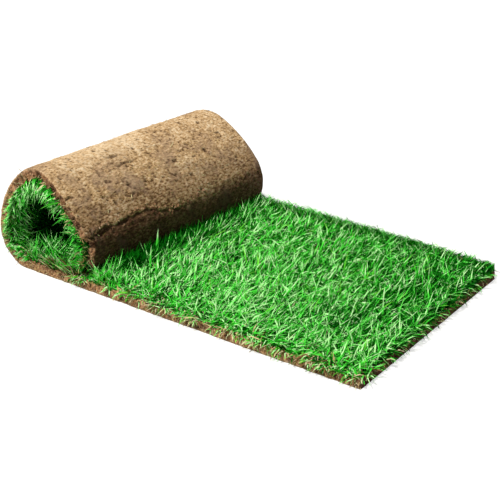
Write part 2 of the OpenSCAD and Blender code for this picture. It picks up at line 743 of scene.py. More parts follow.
@dataclass
class SkinGrid:
    """The soil's skin as a grid, drawn out along the strip, and how far it stands out or is sunk.

    Rough is its finest relief, with which the outline of a pit or lump wobbles. These are longer across.
    """

    rows: Array
    columns: Array
    raised: Array
    sunk: Array
    rough: Array
    squeeze: float = 0.65
    wobble: float = 0.9

    def window(self, middle: float, centre: float, reach: float) -> Part:
        """The part of the grid within reach of a spot."""
        along = np.searchsorted(self.rows[:, 0], (middle - reach, middle + reach))
        across = np.searchsorted(self.columns[0], (centre - reach, centre + reach))
        return slice(*along), slice(*across)

    def lump(self, middle: float, centre: float, size: float) -> tuple[Part, Array]:
        """The part of the grid round an uneven spot, and its share of full height there."""
        part = self.window(middle, centre, 2.0 * size)
        away = np.hypot(self.rows[part] - middle, self.squeeze * (self.columns[part] - centre)) / size
        return part, np.clip(1.0 - (away * (1.0 + self.wobble * self.rough[part])) ** 2, 0.0, 1.0)

    def sink(self, part: Part, depth: Array) -> None:
        """Sinks a part of the grid to a depth, unless it lies deeper already."""
        self.sunk[part] = np.maximum(self.sunk[part], depth)


@dataclass(frozen=True)
class ToeCrack:
    """The crack over the toe, with its raised upper lip and the sunken skin below it.

    Its course is in millimetres, across and from the tail's end, with how open the crack is there.
    """

    course: tuple[Triple, ...] = (
        (-200.0, 44.0, 1.0),
        (-164.0, 48.5, 0.9),
        (-124.0, 49.0, 0.5),
        (-95.0, 50.5, 0.35),
        (-70.0, 51.0, 0.45),
        (-52.0, 44.0, 0.3),
        (-27.0, 39.5, 0.5),
        (0.0, 38.0, 0.25),
        (30.0, 44.0, 0.0),
        (200.0, 54.0, 0.0),
    )
    wander: float = 3.0 * MM
    jitter: float = 1.5 * MM
    gape_swing: float = 1.6
    gape_bounds: Span = (0.25, 1.8)
    middle: float = 1.0 * MM
    width: float = 1.2 * MM
    widening: float = 2.2 * MM
    depth: float = 6.0 * MM
    lip_back: float = 5.0 * MM
    lip_fade: float = 7.0 * MM
    lip_height: float = 1.0 * MM
    lip_rough: float = 2.0 * MM
    step: float = 1.2 * MM
    step_from: Ramp = Ramp(0.0, 3.0 * MM)
    step_until: Ramp = Ramp(40.0 * MM, 0.0)

    @property
    def near_back(self) -> float:
        """How far from the tail's end it meets the near edge."""
        return self.course[0][1] * MM

    def open(self, skin: SkinGrid, past_end: Array) -> Array:
        """Opens the crack in the skin.

        Args:
            skin: the skin, which is changed.
            past_end: how far each of its points lies past the tail's end, which is below 0.

        Returns:
            How far each point lies past the crack, towards the tail's end.
        """
        sides, backs, opens = np.array(self.course).T
        back, open_ = (np.interp(skin.columns, sides * MM, values) for values in (backs * MM, opens))
        level = flat_points(0.0, skin.columns)
        wander = self.wander * Relief.TOE_LINE.over(level) + self.jitter * Relief.TOE_JITTER.over(level)
        past = past_end + back - wander
        gape = np.clip(1.0 + self.gape_swing * Relief.TOE_GAPE.over(level), *self.gape_bounds) * open_
        half = self.width + self.widening * gape
        groove = np.clip(1.0 - np.abs(past - self.middle) / half, 0.0, 1.0)
        skin.sunk = np.maximum(skin.sunk, self.depth * np.sqrt(groove) * np.clip(gape, 0.0, 1.0))
        lip = np.exp(-np.abs(past + self.lip_back) / self.lip_fade) * (past < 0.0)
        skin.raised += (self.lip_height + self.lip_rough * skin.rough) * lip * open_
        skin.raised -= self.step * open_ * self.step_from.at(past) * self.step_until.at(past)
        return past


@dataclass(frozen=True)
class EdgeWear:
    """How far the cut edges have crumbled away, most where a crevice runs down through the mat.

    It is less at the firm lower edge, along the far edge and at the free end.
    """

    mean: float = 1.6 * MM
    lumps: float = 2.2 * MM
    crevices: float = 3.0 * MM
    drift: float = 1.6 * MM
    bounds: Span = (-0.8 * MM, 6.0 * MM)
    least_crevice: float = -0.3
    crevice_squeeze: float = 0.4
    fine_share: float = 0.7
    firm_share: float = 0.25
    firm_height: float = 4.0 * MM
    far_share: float = 0.5
    free_share: float = 0.4
    reach: float = 7.0 * MM

    def crevice(self, solid: Array) -> Array:
        """How deep places by strip coordinates lie in a crevice."""
        drawn_out = solid * (1.0, 1.0, self.crevice_squeeze)
        return Relief.CREVICES.over(drawn_out) + self.fine_share * Relief.FINE_CREVICES.over(drawn_out)

    def worn(self, solid: Array, soil_depth: float) -> Array:
        """Finds how far an edge would have crumbled away.

        Args:
            solid: places by strip coordinates.
            soil_depth: depth of the mat.

        Returns:
            The wear at each place.
        """
        worn = self.mean + self.lumps * Relief.WORN_LUMPS.over(solid)
        worn += self.crevices * np.maximum(self.crevice(solid), self.least_crevice)
        worn = np.clip(worn + self.drift * Relief.WORN_DRIFT.over(solid), *self.bounds)
        firm = ease((solid[:, 2] + soil_depth) / self.firm_height)
        firm = self.firm_share + (1.0 - self.firm_share) * firm
        return worn * firm * np.where(solid[:, 1] > 0.0, self.far_share, 1.0)


@dataclass(frozen=True)
class SkinShade:
    """Painted shade, with some dampness, on the skin and the cut rim, and painted light and shade on the
    skin.

    Ramps are distances along the strip, unless a name says across.
    """

    # Painted shade, with some dampness, below the toe crack where the toe turns under: how ragged its edge
    # is, and how wide at its near and far part
    ragged: float = 9.0 * MM
    fades: Span = (9.0 * MM, 39.0 * MM)
    fades_across: Ramp = Ramp(-60.0 * MM, 90.0 * MM)
    # Painted shade low on the front, with an edge still more ragged, and on the free end's face
    low_from: Ramp = Ramp(838.0 * MM, 888.0 * MM)
    low_ragged: float = 3.0
    low_share: float = 0.5
    free_reach: float = 5.0 * MM
    # The near part of the crown, lighter with painted light, and its middle and spread across the strip
    crown_from: Ramp = Ramp(700.0 * MM, 740.0 * MM)
    crown_until: Ramp = Ramp(830.0 * MM, 795.0 * MM)
    crown_across: Span = (-90.0 * MM, 80.0 * MM)
    # The browner parts, in painted shade: the near part of the front, and the hem over the toe crack
    front_from: Ramp = Ramp(835.0 * MM, 875.0 * MM)
    front_across: Ramp = Ramp(10.0 * MM, -50.0 * MM)
    front_share: float = 0.5
    hem_from: Ramp = Ramp(880.0 * MM, 900.0 * MM)
    hem_share: float = 0.4
    # The darker near rim: from the front to the tail's end, and fainter from the heel on
    rim_from: Ramp = Ramp(778.0 * MM, 828.0 * MM)
    rim_before_end: Ramp = Ramp(-50.0 * MM, -65.0 * MM)
    rim_past_heel: Ramp = Ramp(40.0 * MM, 80.0 * MM)
    rim_share: float = 0.9
    rim_faint: float = 0.25
    rim_patches: Span = (0.8, 1.5)

    def damp(self, skin: SkinGrid, reached: Array, past: Array, edge: Array) -> Array:
        """Finds the painted shade on the skin, with some dampness.

        Args:
            skin: the skin.
            reached: how far along the strip each of its points lies.
            past: how far each lies past the toe crack.
            edge: how far the edge of the painted shade is shifted there.

        Returns:
            A share from 0 to 1 for each point.
        """
        near, far = self.fades
        fade = near + (far - near) * self.fades_across.at(skin.columns)
        below = ease((past + edge) / fade + 0.5)
        low = self.low_share * self.low_from.at(reached + self.low_ragged * edge)
        return np.maximum(np.maximum(below, low), np.exp(-skin.rows / self.free_reach))

    def sunned(self, across: Array, reached: Array) -> Array:
        """Painted light at places by strip coordinates, and below 0 painted shade where they are browner.
        """
        middle, spread = self.crown_across
        crown = self.crown_from.at(reached) * self.crown_until.at(reached)
        crown *= np.exp(-(((across - middle) / spread) ** 2))
        front = self.front_from.at(reached) * self.front_across.at(across)
        return crown - self.front_share * front - self.hem_share * self.hem_from.at(reached)

    def rim_darkened(self, solid: Array, line: StripLine) -> Array:
        """How much darker the near cut rim is, at places by strip coordinates."""
        rows, columns = solid[:, 0], solid[:, 1]
        front = self.rim_from.at(rows) * self.rim_before_end.at(rows - line.length)
        front = np.maximum(front, self.rim_faint * self.rim_past_heel.at(rows - line.flat_run))
        base, swing = self.rim_patches
        patches = ease(base + swing * Relief.RIM_DARK.over(solid))
        return self.rim_share * front * patches * (columns < 0.0)


@dataclass
class SoilMat:
    """The root-bound soil: its sliced skin, with pits and cracks, and its crumbling cut edges."""

    line: StripLine
    finish: SoilFinish
    toe: ToeCrack = ToeCrack()
    edges: EdgeWear = EdgeWear()
    skin_shade: SkinShade = SkinShade()
    flat_step: float = 3.0 * MM
    curl_step: float = 1.7 * MM
    across_intervals: int = 188
    edge_squeeze: float = 0.4
    edge_fade: float = 5.0 * MM
    coarse: int = 4
    rim_levels: tuple[float, ...] = (0.75, 0.55, 0.35, 0.15)
    thatch_height: float = 1.6 * MM
    thatch_sink: float = 0.5 * MM
    skin_stretch: float = 1.18
    # Broad to fine relief of the skin: how far apart its bumps lie, and how high they are
    swells: tuple[Span, ...] = (
        (75.0 * MM, 1.1 * MM),
        (24.0 * MM, 0.5 * MM),
        (9.0 * MM, 0.3 * MM),
        (4.5 * MM, 0.6 * MM),
    )
    # Strewn crumbs, pits and cracks. The height or depth of crumbs and pits goes with their size, and
    # small ones are the more common.
    crumb_count: int = 620
    crumb_sizes: Span = (1.3 * MM, 3.6 * MM)
    crumb_height: float = 0.35
    pit_count: int = 1500
    pit_sizes: Span = (0.8 * MM, 2.5 * MM)
    pit_depth: float = 0.9
    small_bias: float = 2.5
    crack_count: int = 10
    crack_halves: Span = (5.0 * MM, 15.0 * MM)
    crack_depth: float = 3.2 * MM
    crack_width: float = 2.3 * MM
    crack_wander: float = 5.0 * MM
    crack_margin: float = 60.0 * MM
    crack_shift: float = 7.0
    # Pits that can be told apart, in millimetres: along, across and size
    known_pits: tuple[Triple, ...] = (
        (857.5, -81.0, 3.4),
        (849.5, 29.0, 3.8),
        (850.0, 103.0, 4.2),
        (828.5, 158.0, 3.2),
        (799.5, 142.0, 3.2),
        (879.0, 43.0, 2.8),
        (870.0, 13.0, 2.8),
    )
    # A crack that can be told apart, in millimetres: along, across and half its length
    known_cracks: tuple[Triple, ...] = ((824.5, -61.0, 25.0),)
    # Shade in the hollows: the depth at which it is full and the most of it. In the finest relief and in
    # the rim's crevices: how fast it deepens, where it starts and the most of it.
    dark_depth: float = 1.9 * MM
    darkest: float = 0.92
    fine_shade: Triple = (1.5, 0.35, 0.45)
    rim_shade: Triple = (3.0, 0.1, 0.95)
    # How far the near corner of the tail has broken away under the crack, and how far in this is felt
    broken: float = 12.0 * MM
    broken_reach: float = 26.0 * MM
    broken_past_crack: Ramp = Ramp(-4.0 * MM, 5.0 * MM)
    # The rim by that corner: how far from the tail's end and how far out, and its share of the painted
    # shade and dampness
    foot_back: float = 55.0 * MM
    foot_side: float = 0.48
    foot_shade_and_damp: float = 0.3
    # How far the mat sags into the hollow under the crown at the near end, and how far in this is felt
    sag: float = 6.5 * MM
    sag_reach: float = 30.0 * MM
    sag_by_hang: Ramp = Ramp(0.5, 0.9)
    # Where crumbs may lie: by the toe crack's upper lip, some way past the heel, and thinner on the far rim
    lip_middle: float = -2.0 * MM
    lip_reach: float = 6.0 * MM
    lip_until: float = 70.0 * MM
    heel_margin: float = 60.0 * MM
    far_thinning: int = 4
    seed: int = 11
    rng: Chance = field(init=False)
    hollow: Array = field(init=False)
    damp: Array = field(init=False)
    sunned: Array = field(init=False)
    points: Array = field(init=False)
    places: dict[str, Array] = field(default_factory=dict)

    @property
    def curl_start(self) -> float:
        """Where the curl starts on the drawn-out grid of the skin."""
        return self.line.flat_run * self.skin_stretch

    def stations(self) -> tuple[Array, Array]:
        """Chooses the lines of the skin's grid.

        Returns:
            Distances along the strip and across it, close where the detail is fine.
        """
        flat = self.coarse * round(self.line.flat_run / self.flat_step / self.coarse)
        curl_run = self.line.length - self.line.flat_run
        curl = self.coarse * round(curl_run / self.curl_step / self.coarse)
        along = np.concatenate(
            [
                np.linspace(0.0, self.line.flat_run, flat, endpoint=False),
                np.linspace(self.line.flat_run, self.line.length, curl + 1),
            ]
        )
        even = np.linspace(-1.0, 1.0, self.across_intervals + 1)
        squeezed = (1.0 - self.edge_squeeze) * even + self.edge_squeeze * np.sin(0.5 * math.pi * even)
        return along, 0.5 * self.line.width * squeezed

    def on_grid(self, known: tuple[Triple, ...]) -> Array:
        """Known spots, given in millimetres, as places and sizes on the drawn-out grid."""
        return np.array(known) * (self.skin_stretch * MM, MM, MM)

    def strewn(self, skin: SkinGrid, count: int, sizes: Span) -> Array:
        """Strews spots over the curl.

        Args:
            skin: the skin.
            count: how many.
            sizes: their least size and their most.

        Returns:
            Each spot's place along and across the grid, and its size.
        """
        least, most = sizes
        rows = self.rng.uniform(self.curl_start, skin.rows[-1, 0], count)
        columns = self.rng.uniform(skin.columns[0, 0], skin.columns[0, -1], count)
        share = self.rng.random(count) ** self.small_bias
        return np.stack([rows, columns, least + (most - least) * share], -1)

    def pit(self, skin: SkinGrid) -> None:
        """Strews crumbs and pits over the skin, and sinks the known pits.

        Args:
            skin: the skin, which is changed.
        """
        for middle, centre, size in self.strewn(skin, self.crumb_count, self.crumb_sizes):
            part, share = skin.lump(middle, centre, size)
            skin.raised[part] += self.crumb_height * size * np.sqrt(share)
        strewn = self.strewn(skin, self.pit_count, self.pit_sizes)
        for middle, centre, size in np.concatenate([strewn, self.on_grid(self.known_pits)]):
            part, share = skin.lump(middle, centre, size)
            skin.sink(part, self.pit_depth * size * share)

    def split(self, skin: SkinGrid) -> None:
        """Opens short cracks across the skin, strewn ones and known ones.

        Args:
            skin: the skin, which is changed.
        """
        first, last = self.curl_start + self.crack_margin, skin.rows[-1, 0] - self.crack_margin
        rows = self.rng.uniform(first, last, self.crack_count)
        columns = self.rng.uniform(skin.columns[0, 0], skin.columns[0, -1], self.crack_count)
        strewn = np.stack([rows, columns, self.rng.uniform(*self.crack_halves, self.crack_count)], -1)
        for middle, centre, half in np.concatenate([strewn, self.on_grid(self.known_cracks)]):
            part = skin.window(middle, centre, half)
            course = flat_points(0.0, skin.columns[part] + self.crack_shift * middle)
            wander = self.crack_wander * Relief.CRACK_LINE.over(course)
            taper = np.clip(1.0 - ((skin.columns[part] - centre) / half) ** 2, 0.0, 1.0)
            away = np.abs(skin.rows[part] - middle - wander) / self.crack_width
            skin.sink(part, self.crack_depth * taper * np.clip(1.0 - away, 0.0, 1.0))

    def relief(self, along: Array, across: Array) -> Array:
        """Shapes the skin, and notes its painted shade, in hollows and with some dampness, and its painted
        light.

        Args:
            along: the grid's lines along the strip.
            across: the grid's lines across it.

        Returns:
            How far each grid point stands out of the skin.
        """
        self.rng = np.random.default_rng(self.seed)
        rows, columns = np.meshgrid(along * self.skin_stretch, across, indexing="ij")
        spots = flat_points(rows, columns)
        raised = sum(amount * swell(spots, cell, seed) for seed, (cell, amount) in enumerate(self.swells))
        skin = SkinGrid(rows, columns, raised, np.zeros_like(raised), Relief.ROUGH_SKIN.over(spots))
        self.pit(skin)
        self.split(skin)
        reached = rows / self.skin_stretch
        past = self.toe.open(skin, reached - self.line.length)
        edge = self.skin_shade.ragged * Relief.SHADE_EDGE.over(spots)
        self.damp = self.skin_shade.damp(skin, reached, past, edge)
        self.sunned = self.skin_shade.sunned(columns, reached + edge)
        deepens, start, most = self.fine_shade
        fine = np.clip(-deepens * skin.rough - start, 0.0, most)
        self.hollow = np.clip(skin.sunk / self.dark_depth + fine, 0.0, self.darkest)
        numbers = np.arange(rows.size).reshape(rows.shape)
        by_lip = np.abs(past - self.lip_middle) < self.lip_reach
        self.places["lip"] = numbers[by_lip & (columns < self.lip_until)]
        self.places["skin"] = numbers[rows > self.curl_start + self.heel_margin]
        to_end = np.minimum(rows - rows[0, 0], rows[-1, 0] - rows)
        to_edge = np.minimum(0.5 * self.line.width - np.abs(columns), to_end)
        return (skin.raised - skin.sunk) * ease(to_edge / self.edge_fade)

    def build(self) -> Piece:
        """Builds the soil as one closed mesh: skin, rim and the rooted side under the grass.

        Returns:
            The soil's object.
        """
        along, across = self.stations()
        raised = self.relief(along, across)
        skin = np.arange(raised.size).reshape(raised.shape)
        ring = perimeter(skin)
        rim = raised.size + np.arange(len(self.rim_levels) * len(ring))
        under = skin[:: self.coarse, :: self.coarse]
        top = raised.size + len(rim)
        rooted = top + np.arange(under.size).reshape(under.shape)
        order = np.concatenate([skin.ravel()] + [ring] * len(self.rim_levels) + [under.ravel()])

        rows, columns = (grid.ravel()[order] for grid in np.meshgrid(along, across, indexing="ij"))
        depth = self.line.soil_depth
        levels = [-depth - raised.ravel()]
        levels += [np.full(len(ring), -depth * level) for level in self.rim_levels]
        thatch = self.thatch_height * Relief.THATCH.over(flat_points(rows[top:], columns[top:]))
        heights = np.concatenate(levels + [thatch - self.thatch_sink])
        heights += self.sagged(rows, columns) * np.clip(1.0 + heights / depth, 0.0, 1.0)
        solid = np.stack([rows, columns, heights], -1)
        self.points = self.crumbled(solid)
        self.places["rim"] = rim[(columns[rim] < 0.0) | (rim % self.far_thinning == 0)]
        self.places["foot"] = rim[self.at_foot(solid[rim])]

        faces = [grid_faces(skin), grid_faces(rooted)[:, ::-1]]
        loops = [ring, *np.split(rim, len(self.rim_levels))]
        for lower, upper in zip(loops, loops[1:]):
            faces.append(np.stack([lower, upper, np.roll(upper, -1), np.roll(lower, -1)], -1))
        faces.append(zipped(loops[-1], perimeter(rooted), self.coarse))
        piece = new_mesh_piece("soil", self.points, faces)
        self.mark_shade_and_cut(piece, solid, order, raised.size)
        return piece

    def mark_shade_and_cut(self, piece: Piece, solid: Array, order: Array, skin_size: int) -> None:
        """Stores each soil vertex's painted shade, in hollows and with some dampness, its raw cut and its
        painted light.

        Args:
            piece: the soil.
            solid: its vertices by strip coordinates, those of the skin first.
            order: the point of the skin that each goes with.
            skin_size: how many belong to the skin.
        """
        cut = np.arange(len(order)) >= skin_size
        deepens, start, most = self.rim_shade
        shaded = np.clip(deepens * self.edges.crevice(solid) - start, 0.0, most)
        self.hollow = np.concatenate([self.hollow.ravel(), shaded[skin_size:]])
        rim_dark = self.skin_shade.rim_darkened(solid, self.line) * cut
        self.damp = np.maximum(self.damp.ravel()[order], rim_dark)
        self.damp[cut & self.at_foot(solid)] *= self.foot_shade_and_damp
        sunned = self.sunned.ravel()[order] * ~cut
        mark_points(piece, {"hollow": self.hollow, "damp": self.damp, "raw": cut, "sunned": sunned})

    def at_foot(self, solid: Array) -> Array:
        """Tells which places by strip coordinates lie on the rim by the tail's near corner."""
        near = solid[:, 1] < -self.foot_side * self.line.width
        return near & (solid[:, 0] > self.line.length - self.foot_back)

    def sagged(self, rows: Array, columns: Array) -> Array:
        """How far the rooted side of the mat hangs down into the hollow, which it does under the crown."""
        grows = self.line.stand(rows, columns)[2]
        under = self.sag_by_hang.at(-grows[:, 2]) * ease((rows - self.line.flat_run) / MM)
        return self.sag * under * np.exp(-(columns + 0.5 * self.line.width) / self.sag_reach)

    def crumbled(self, solid: Array) -> Array:
        """Wears the cut edges away and places the points in the frame.

        Args:
            solid: places by strip coordinates.

        Returns:
            The points in the frame, none of them under the floor.
        """
        rows, columns, heights = solid.T
        worn = self.edges.worn(solid, self.line.soil_depth)
        side = np.exp(-(0.5 * self.line.width - np.abs(columns)) / self.edges.reach)
        start = self.edges.free_share * np.exp(-rows / self.edges.reach)
        stop = np.exp(-(self.line.length - rows) / self.edges.reach)
        crack = self.line.length - self.toe.near_back
        lost = self.broken * self.broken_past_crack.at(rows - crack)
        lost = lost * np.exp(-(columns + 0.5 * self.line.width) / self.broken_reach)
        columns = columns - np.sign(columns) * side * worn + lost
        rows = rows + (start - stop) * worn
        spots, _, grows = self.line.stand(rows, columns)
        points = spots + heights[:, None] * grows
        points[:, 2] = np.maximum(points[:, 2], 0.0)
        return points

    def dress(self, piece: Piece) -> None:
        """Gives the soil its finish and its place in the part."""
        piece.data.polygons.foreach_set("use_smooth", [True] * len(piece.data.polygons))
        settle(piece, "soil_mat", "soil", self.finish.material())


def perimeter(grid: Array) -> Array:
    """The vertices round the edge of a grid, in order."""
    return np.concatenate([grid[:-1, 0], grid[-1, :-1], grid[:0:-1, -1], grid[0, :0:-1]])


def grid_faces(grid: Array) -> Array:
    """The four-cornered faces of a grid of vertices."""
    return np.stack([grid[:-1, :-1], grid[1:, :-1], grid[1:, 1:], grid[:-1, 1:]], -1).reshape(-1, 4)


def zipped(fine: Array, coarse: Array, ratio: int) -> Array:
    """Joins a fine ring of vertices to a coarse one.

    Args:
        fine: the fine ring's vertices, in order.
        coarse: the coarse ring's vertices, in the same order.
        ratio: fine edges to one coarse edge.

    Returns:
        Triangles between the two rings.
    """
    following = np.roll(coarse, -1)
    steps = [np.roll(fine, -step)[::ratio] for step in range(ratio + 1)]
    half = ratio // 2
    faces = [np.stack([steps[half], coarse, following], -1)]
    for step in range(ratio):
        corner = coarse if step < half else following
        faces.append(np.stack([steps[step], corner, steps[step + 1]], -1))
    return np.concatenate(faces)


def icosahedron() -> tuple[Array, Array]:
    """A lump of twenty sides and radius one.

    Returns:
        Its corners, and its faces turned outward.
    """
    golden = 0.5 * (1.0 + math.sqrt(5.0))
    signs = list(itertools.product((-1.0, 1.0), (-golden, golden)))
    corners = np.array([np.roll((0.0, *pair), turn) for turn in range(3) for pair in signs])
    # Neighbouring corners lie 2 apart
    joined = np.linalg.norm(corners[:, None] - corners, axis=-1) < 2.1
    faces = []
    for a, b, c in itertools.combinations(range(len(corners)), 3):
        if joined[a, b] and joined[b, c] and joined[c, a]:
            outward = np.dot(np.cross(corners[b] - corners[a], corners[c] - corners[a]), corners[a]) > 0.0
            faces.append((a, b, c) if outward else (a, c, b))
    return corners / math.hypot(1.0, golden), np.array(faces)


@dataclass
class Crumbs:
    """Small lumps of soil that cling to the cut edges, to the crack over the toe and to the skin.

    Heaps holds, for each kind of place, how many crumbs lie there and the largest of them.
    """

    soil: SoilMat
    finish: SoilFinish
    heaps: tuple[tuple[str, int, float], ...] = (
        ("rim", 1200, 3.2 * MM),
        ("lip", 130, 3.2 * MM),
        ("foot", 130, 4.6 * MM),
        ("skin", 120, 1.4 * MM),
    )
    least: float = 0.7 * MM
    dents: Span = (0.65, 1.2)
    stretch: Span = (0.7, 1.15)
    # How much of the painted shade in the hollows a crumb takes on
    hollow_share: float = 0.6
    # How much of its cell of the map a crumb takes up, either side of the middle
    cell_share: float = 0.3
    seed: int = 37

    def build(self) -> Piece:
        """Builds the crumbs as one mesh, each with its own cell of the map.

        Returns:
            The crumbs' object.
        """
        rng = np.random.default_rng(self.seed)
        chosen = np.concatenate([rng.choice(self.soil.places[name], n) for name, n, _ in self.heaps])
        most = np.concatenate([np.full(n, largest) for _, n, largest in self.heaps])[:, None, None]
        count = len(chosen)
        corners, faces = icosahedron()
        size = self.least + (most - self.least) * rng.random((count, 1, 1)) ** 2
        lumps = corners * rng.uniform(*self.dents, (count, len(corners), 1))
        lumps = lumps * rng.uniform(*self.stretch, (count, 1, 3))
        turns = np.linalg.qr(rng.normal(size=(count, 3, 3)))[0]
        turns[:, 0] *= np.linalg.det(turns)[:, None]
        points = self.soil.points[chosen][:, None] + size * (lumps @ turns)
        points[..., 2] = np.maximum(points[..., 2], 0.0)
        bases = len(corners) * np.arange(count)
        corner_rows = (bases[:, None, None] + faces).reshape(-1, 3)
        piece = new_mesh_piece("soil_crumbs", points.reshape(-1, 3), [corner_rows])
        marks = {"hollow": self.hollow_share * self.soil.hollow[chosen], "damp": self.soil.damp[chosen]}
        mark_points(piece, {name: np.repeat(values, len(corners)) for name, values in marks.items()})
        side = math.ceil(math.sqrt(count))
        cells = np.stack(np.divmod(np.arange(count), side), -1)[:, None]
        spread = (cells + 0.5 + self.cell_share * lumps[..., :2]) / side
        lay_map(piece, spread.reshape(-1, 2))
        return piece

    def dress(self, piece: Piece) -> None:
        """Gives the crumbs their finish and their place in the part."""
        settle(piece, "soil_mat", "soil", self.finish.material())


def lay_map(piece: Piece, places: Array) -> None:
    """Gives a piece its map.

    Args:
        piece: the piece.
        places: each vertex's place on the map, from 0 to 1.
    """
    corners = np.empty(len(piece.data.loops), dtype=np.int32)
    piece.data.loops.foreach_get("vertex_index", corners)
    layer = piece.data.uv_layers.new(name=BLADE_MAP)
    layer.uv.foreach_set("vector", places[corners].astype(np.float32).ravel())


@dataclass
class Shoots:
    """Blades or fibres before they have a shape: where each is rooted, and how it grows.

    Height is that of its foot, lean is a direction in the plane of the strip, and rise and droop are
    its angles from upright at foot and tip.
    """

    along: Array
    across: Array
    height: Array
    lean: Array
    rise: Array
    droop: Array
    length: Array
    width: Array
    roll: Array
    kind: Array
    column: Array

    def __len__(self) -> int:
        """How many there are."""
        return len(self.along)

    def reach(self) -> Array:
        """How far each tip leans away from its foot, in the plane of the strip."""
        return self.length * np.sin(0.5 * (self.rise + self.droop))

    def only(self, chosen: Array) -> "Shoots":
        """Those that a mask or a list of places chooses."""
        return Shoots(**{name: values[chosen] for name, values in vars(self).items()})

    def spread(self, line: StripLine, name: str, form: BladeForm) -> Piece:
        """Grows the shoots into one mesh of closed, tapered blades.

        Args:
            line: the strip that they grow on.
            name: the piece's name.
            form: the stations of each blade.

        Returns:
            The piece, with the blade print mapped on it.
        """
        spots, runs, grows = line.stand(self.along, self.across)
        sides = np.array([0.0, 1.0, 0.0])
        leans = np.cos(self.lean)[:, None] * runs + np.sin(self.lean)[:, None] * sides
        flat = np.cross(grows, leans)
        middle = spots + self.height[:, None] * grows
        points, prints = [], []
        before = 0.0
        for place, breadth in form.value:
            halfway = self.rise + (self.droop - self.rise) * 0.5 * (before + place)
            step = ((place - before) * self.length)[:, None]
            middle = middle + step * (np.sin(halfway)[:, None] * leans + np.cos(halfway)[:, None] * grows)
            bent = self.rise + (self.droop - self.rise) * place
            tangent = np.sin(bent)[:, None] * leans + np.cos(bent)[:, None] * grows
            rolled = self.roll * (FOOT_ROLL + (1.0 - FOOT_ROLL) * place)
            wide = np.cos(rolled)[:, None] * flat + np.sin(rolled)[:, None] * np.cross(tangent, flat)
            before = place
            if breadth == 0.0:
                points.append(middle)
                prints.append((0.5, place))
                continue
            half = (0.5 * breadth * self.width)[:, None] * wide
            keel = (BLADE_KEEL * breadth * self.width)[:, None] * np.cross(wide, tangent)
            points += [middle - half, middle + half, middle - keel]
            prints += [(0.0, place), (1.0, place), (0.5, place)]
        count = len(points)
        faces = [(0, 2, 1)]
        tip = count - 1
        for a, b in ((0, 1), (1, 2), (2, 0)):
            for ring in range(0, tip - 3, 3):
                faces += [(ring + a, ring + b, ring + b + 3), (ring + a, ring + b + 3, ring + a + 3)]
            faces.append((tip - 3 + a, tip - 3 + b, tip))
        bases = count * np.arange(len(self))
        corners = (bases[:, None, None] + np.array(faces)).reshape(-1, 3)
        points = np.stack(points, 1).reshape(-1, 3)
        points[:, 2] = np.maximum(points[:, 2], FLOOR_GAP)
        piece = new_mesh_piece(name, points, [corners])
        self.print_map(piece, np.array(prints))
        return piece

    def print_map(self, piece: Piece, prints: Array) -> None:
        """Lays each blade on its cell of the blade print.

        Args:
            piece: the piece whose vertices are blades, one after another.
            prints: place of each vertex of a blade within its cell.
        """
        cell = np.stack([self.column, self.kind], -1)[:, None, :]
        place = cell + PRINT_INSET + (1.0 - 2.0 * PRINT_INSET) * prints
        lay_map(piece, (place / (PRINT_COLUMNS, len(BladeKind))).reshape(-1, 2))
        is_dry = np.repeat(self.kind == BladeKind.DRY, len(piece.data.polygons) // len(self))
        piece.data.polygons.foreach_set("material_index", is_dry.astype(np.int32))


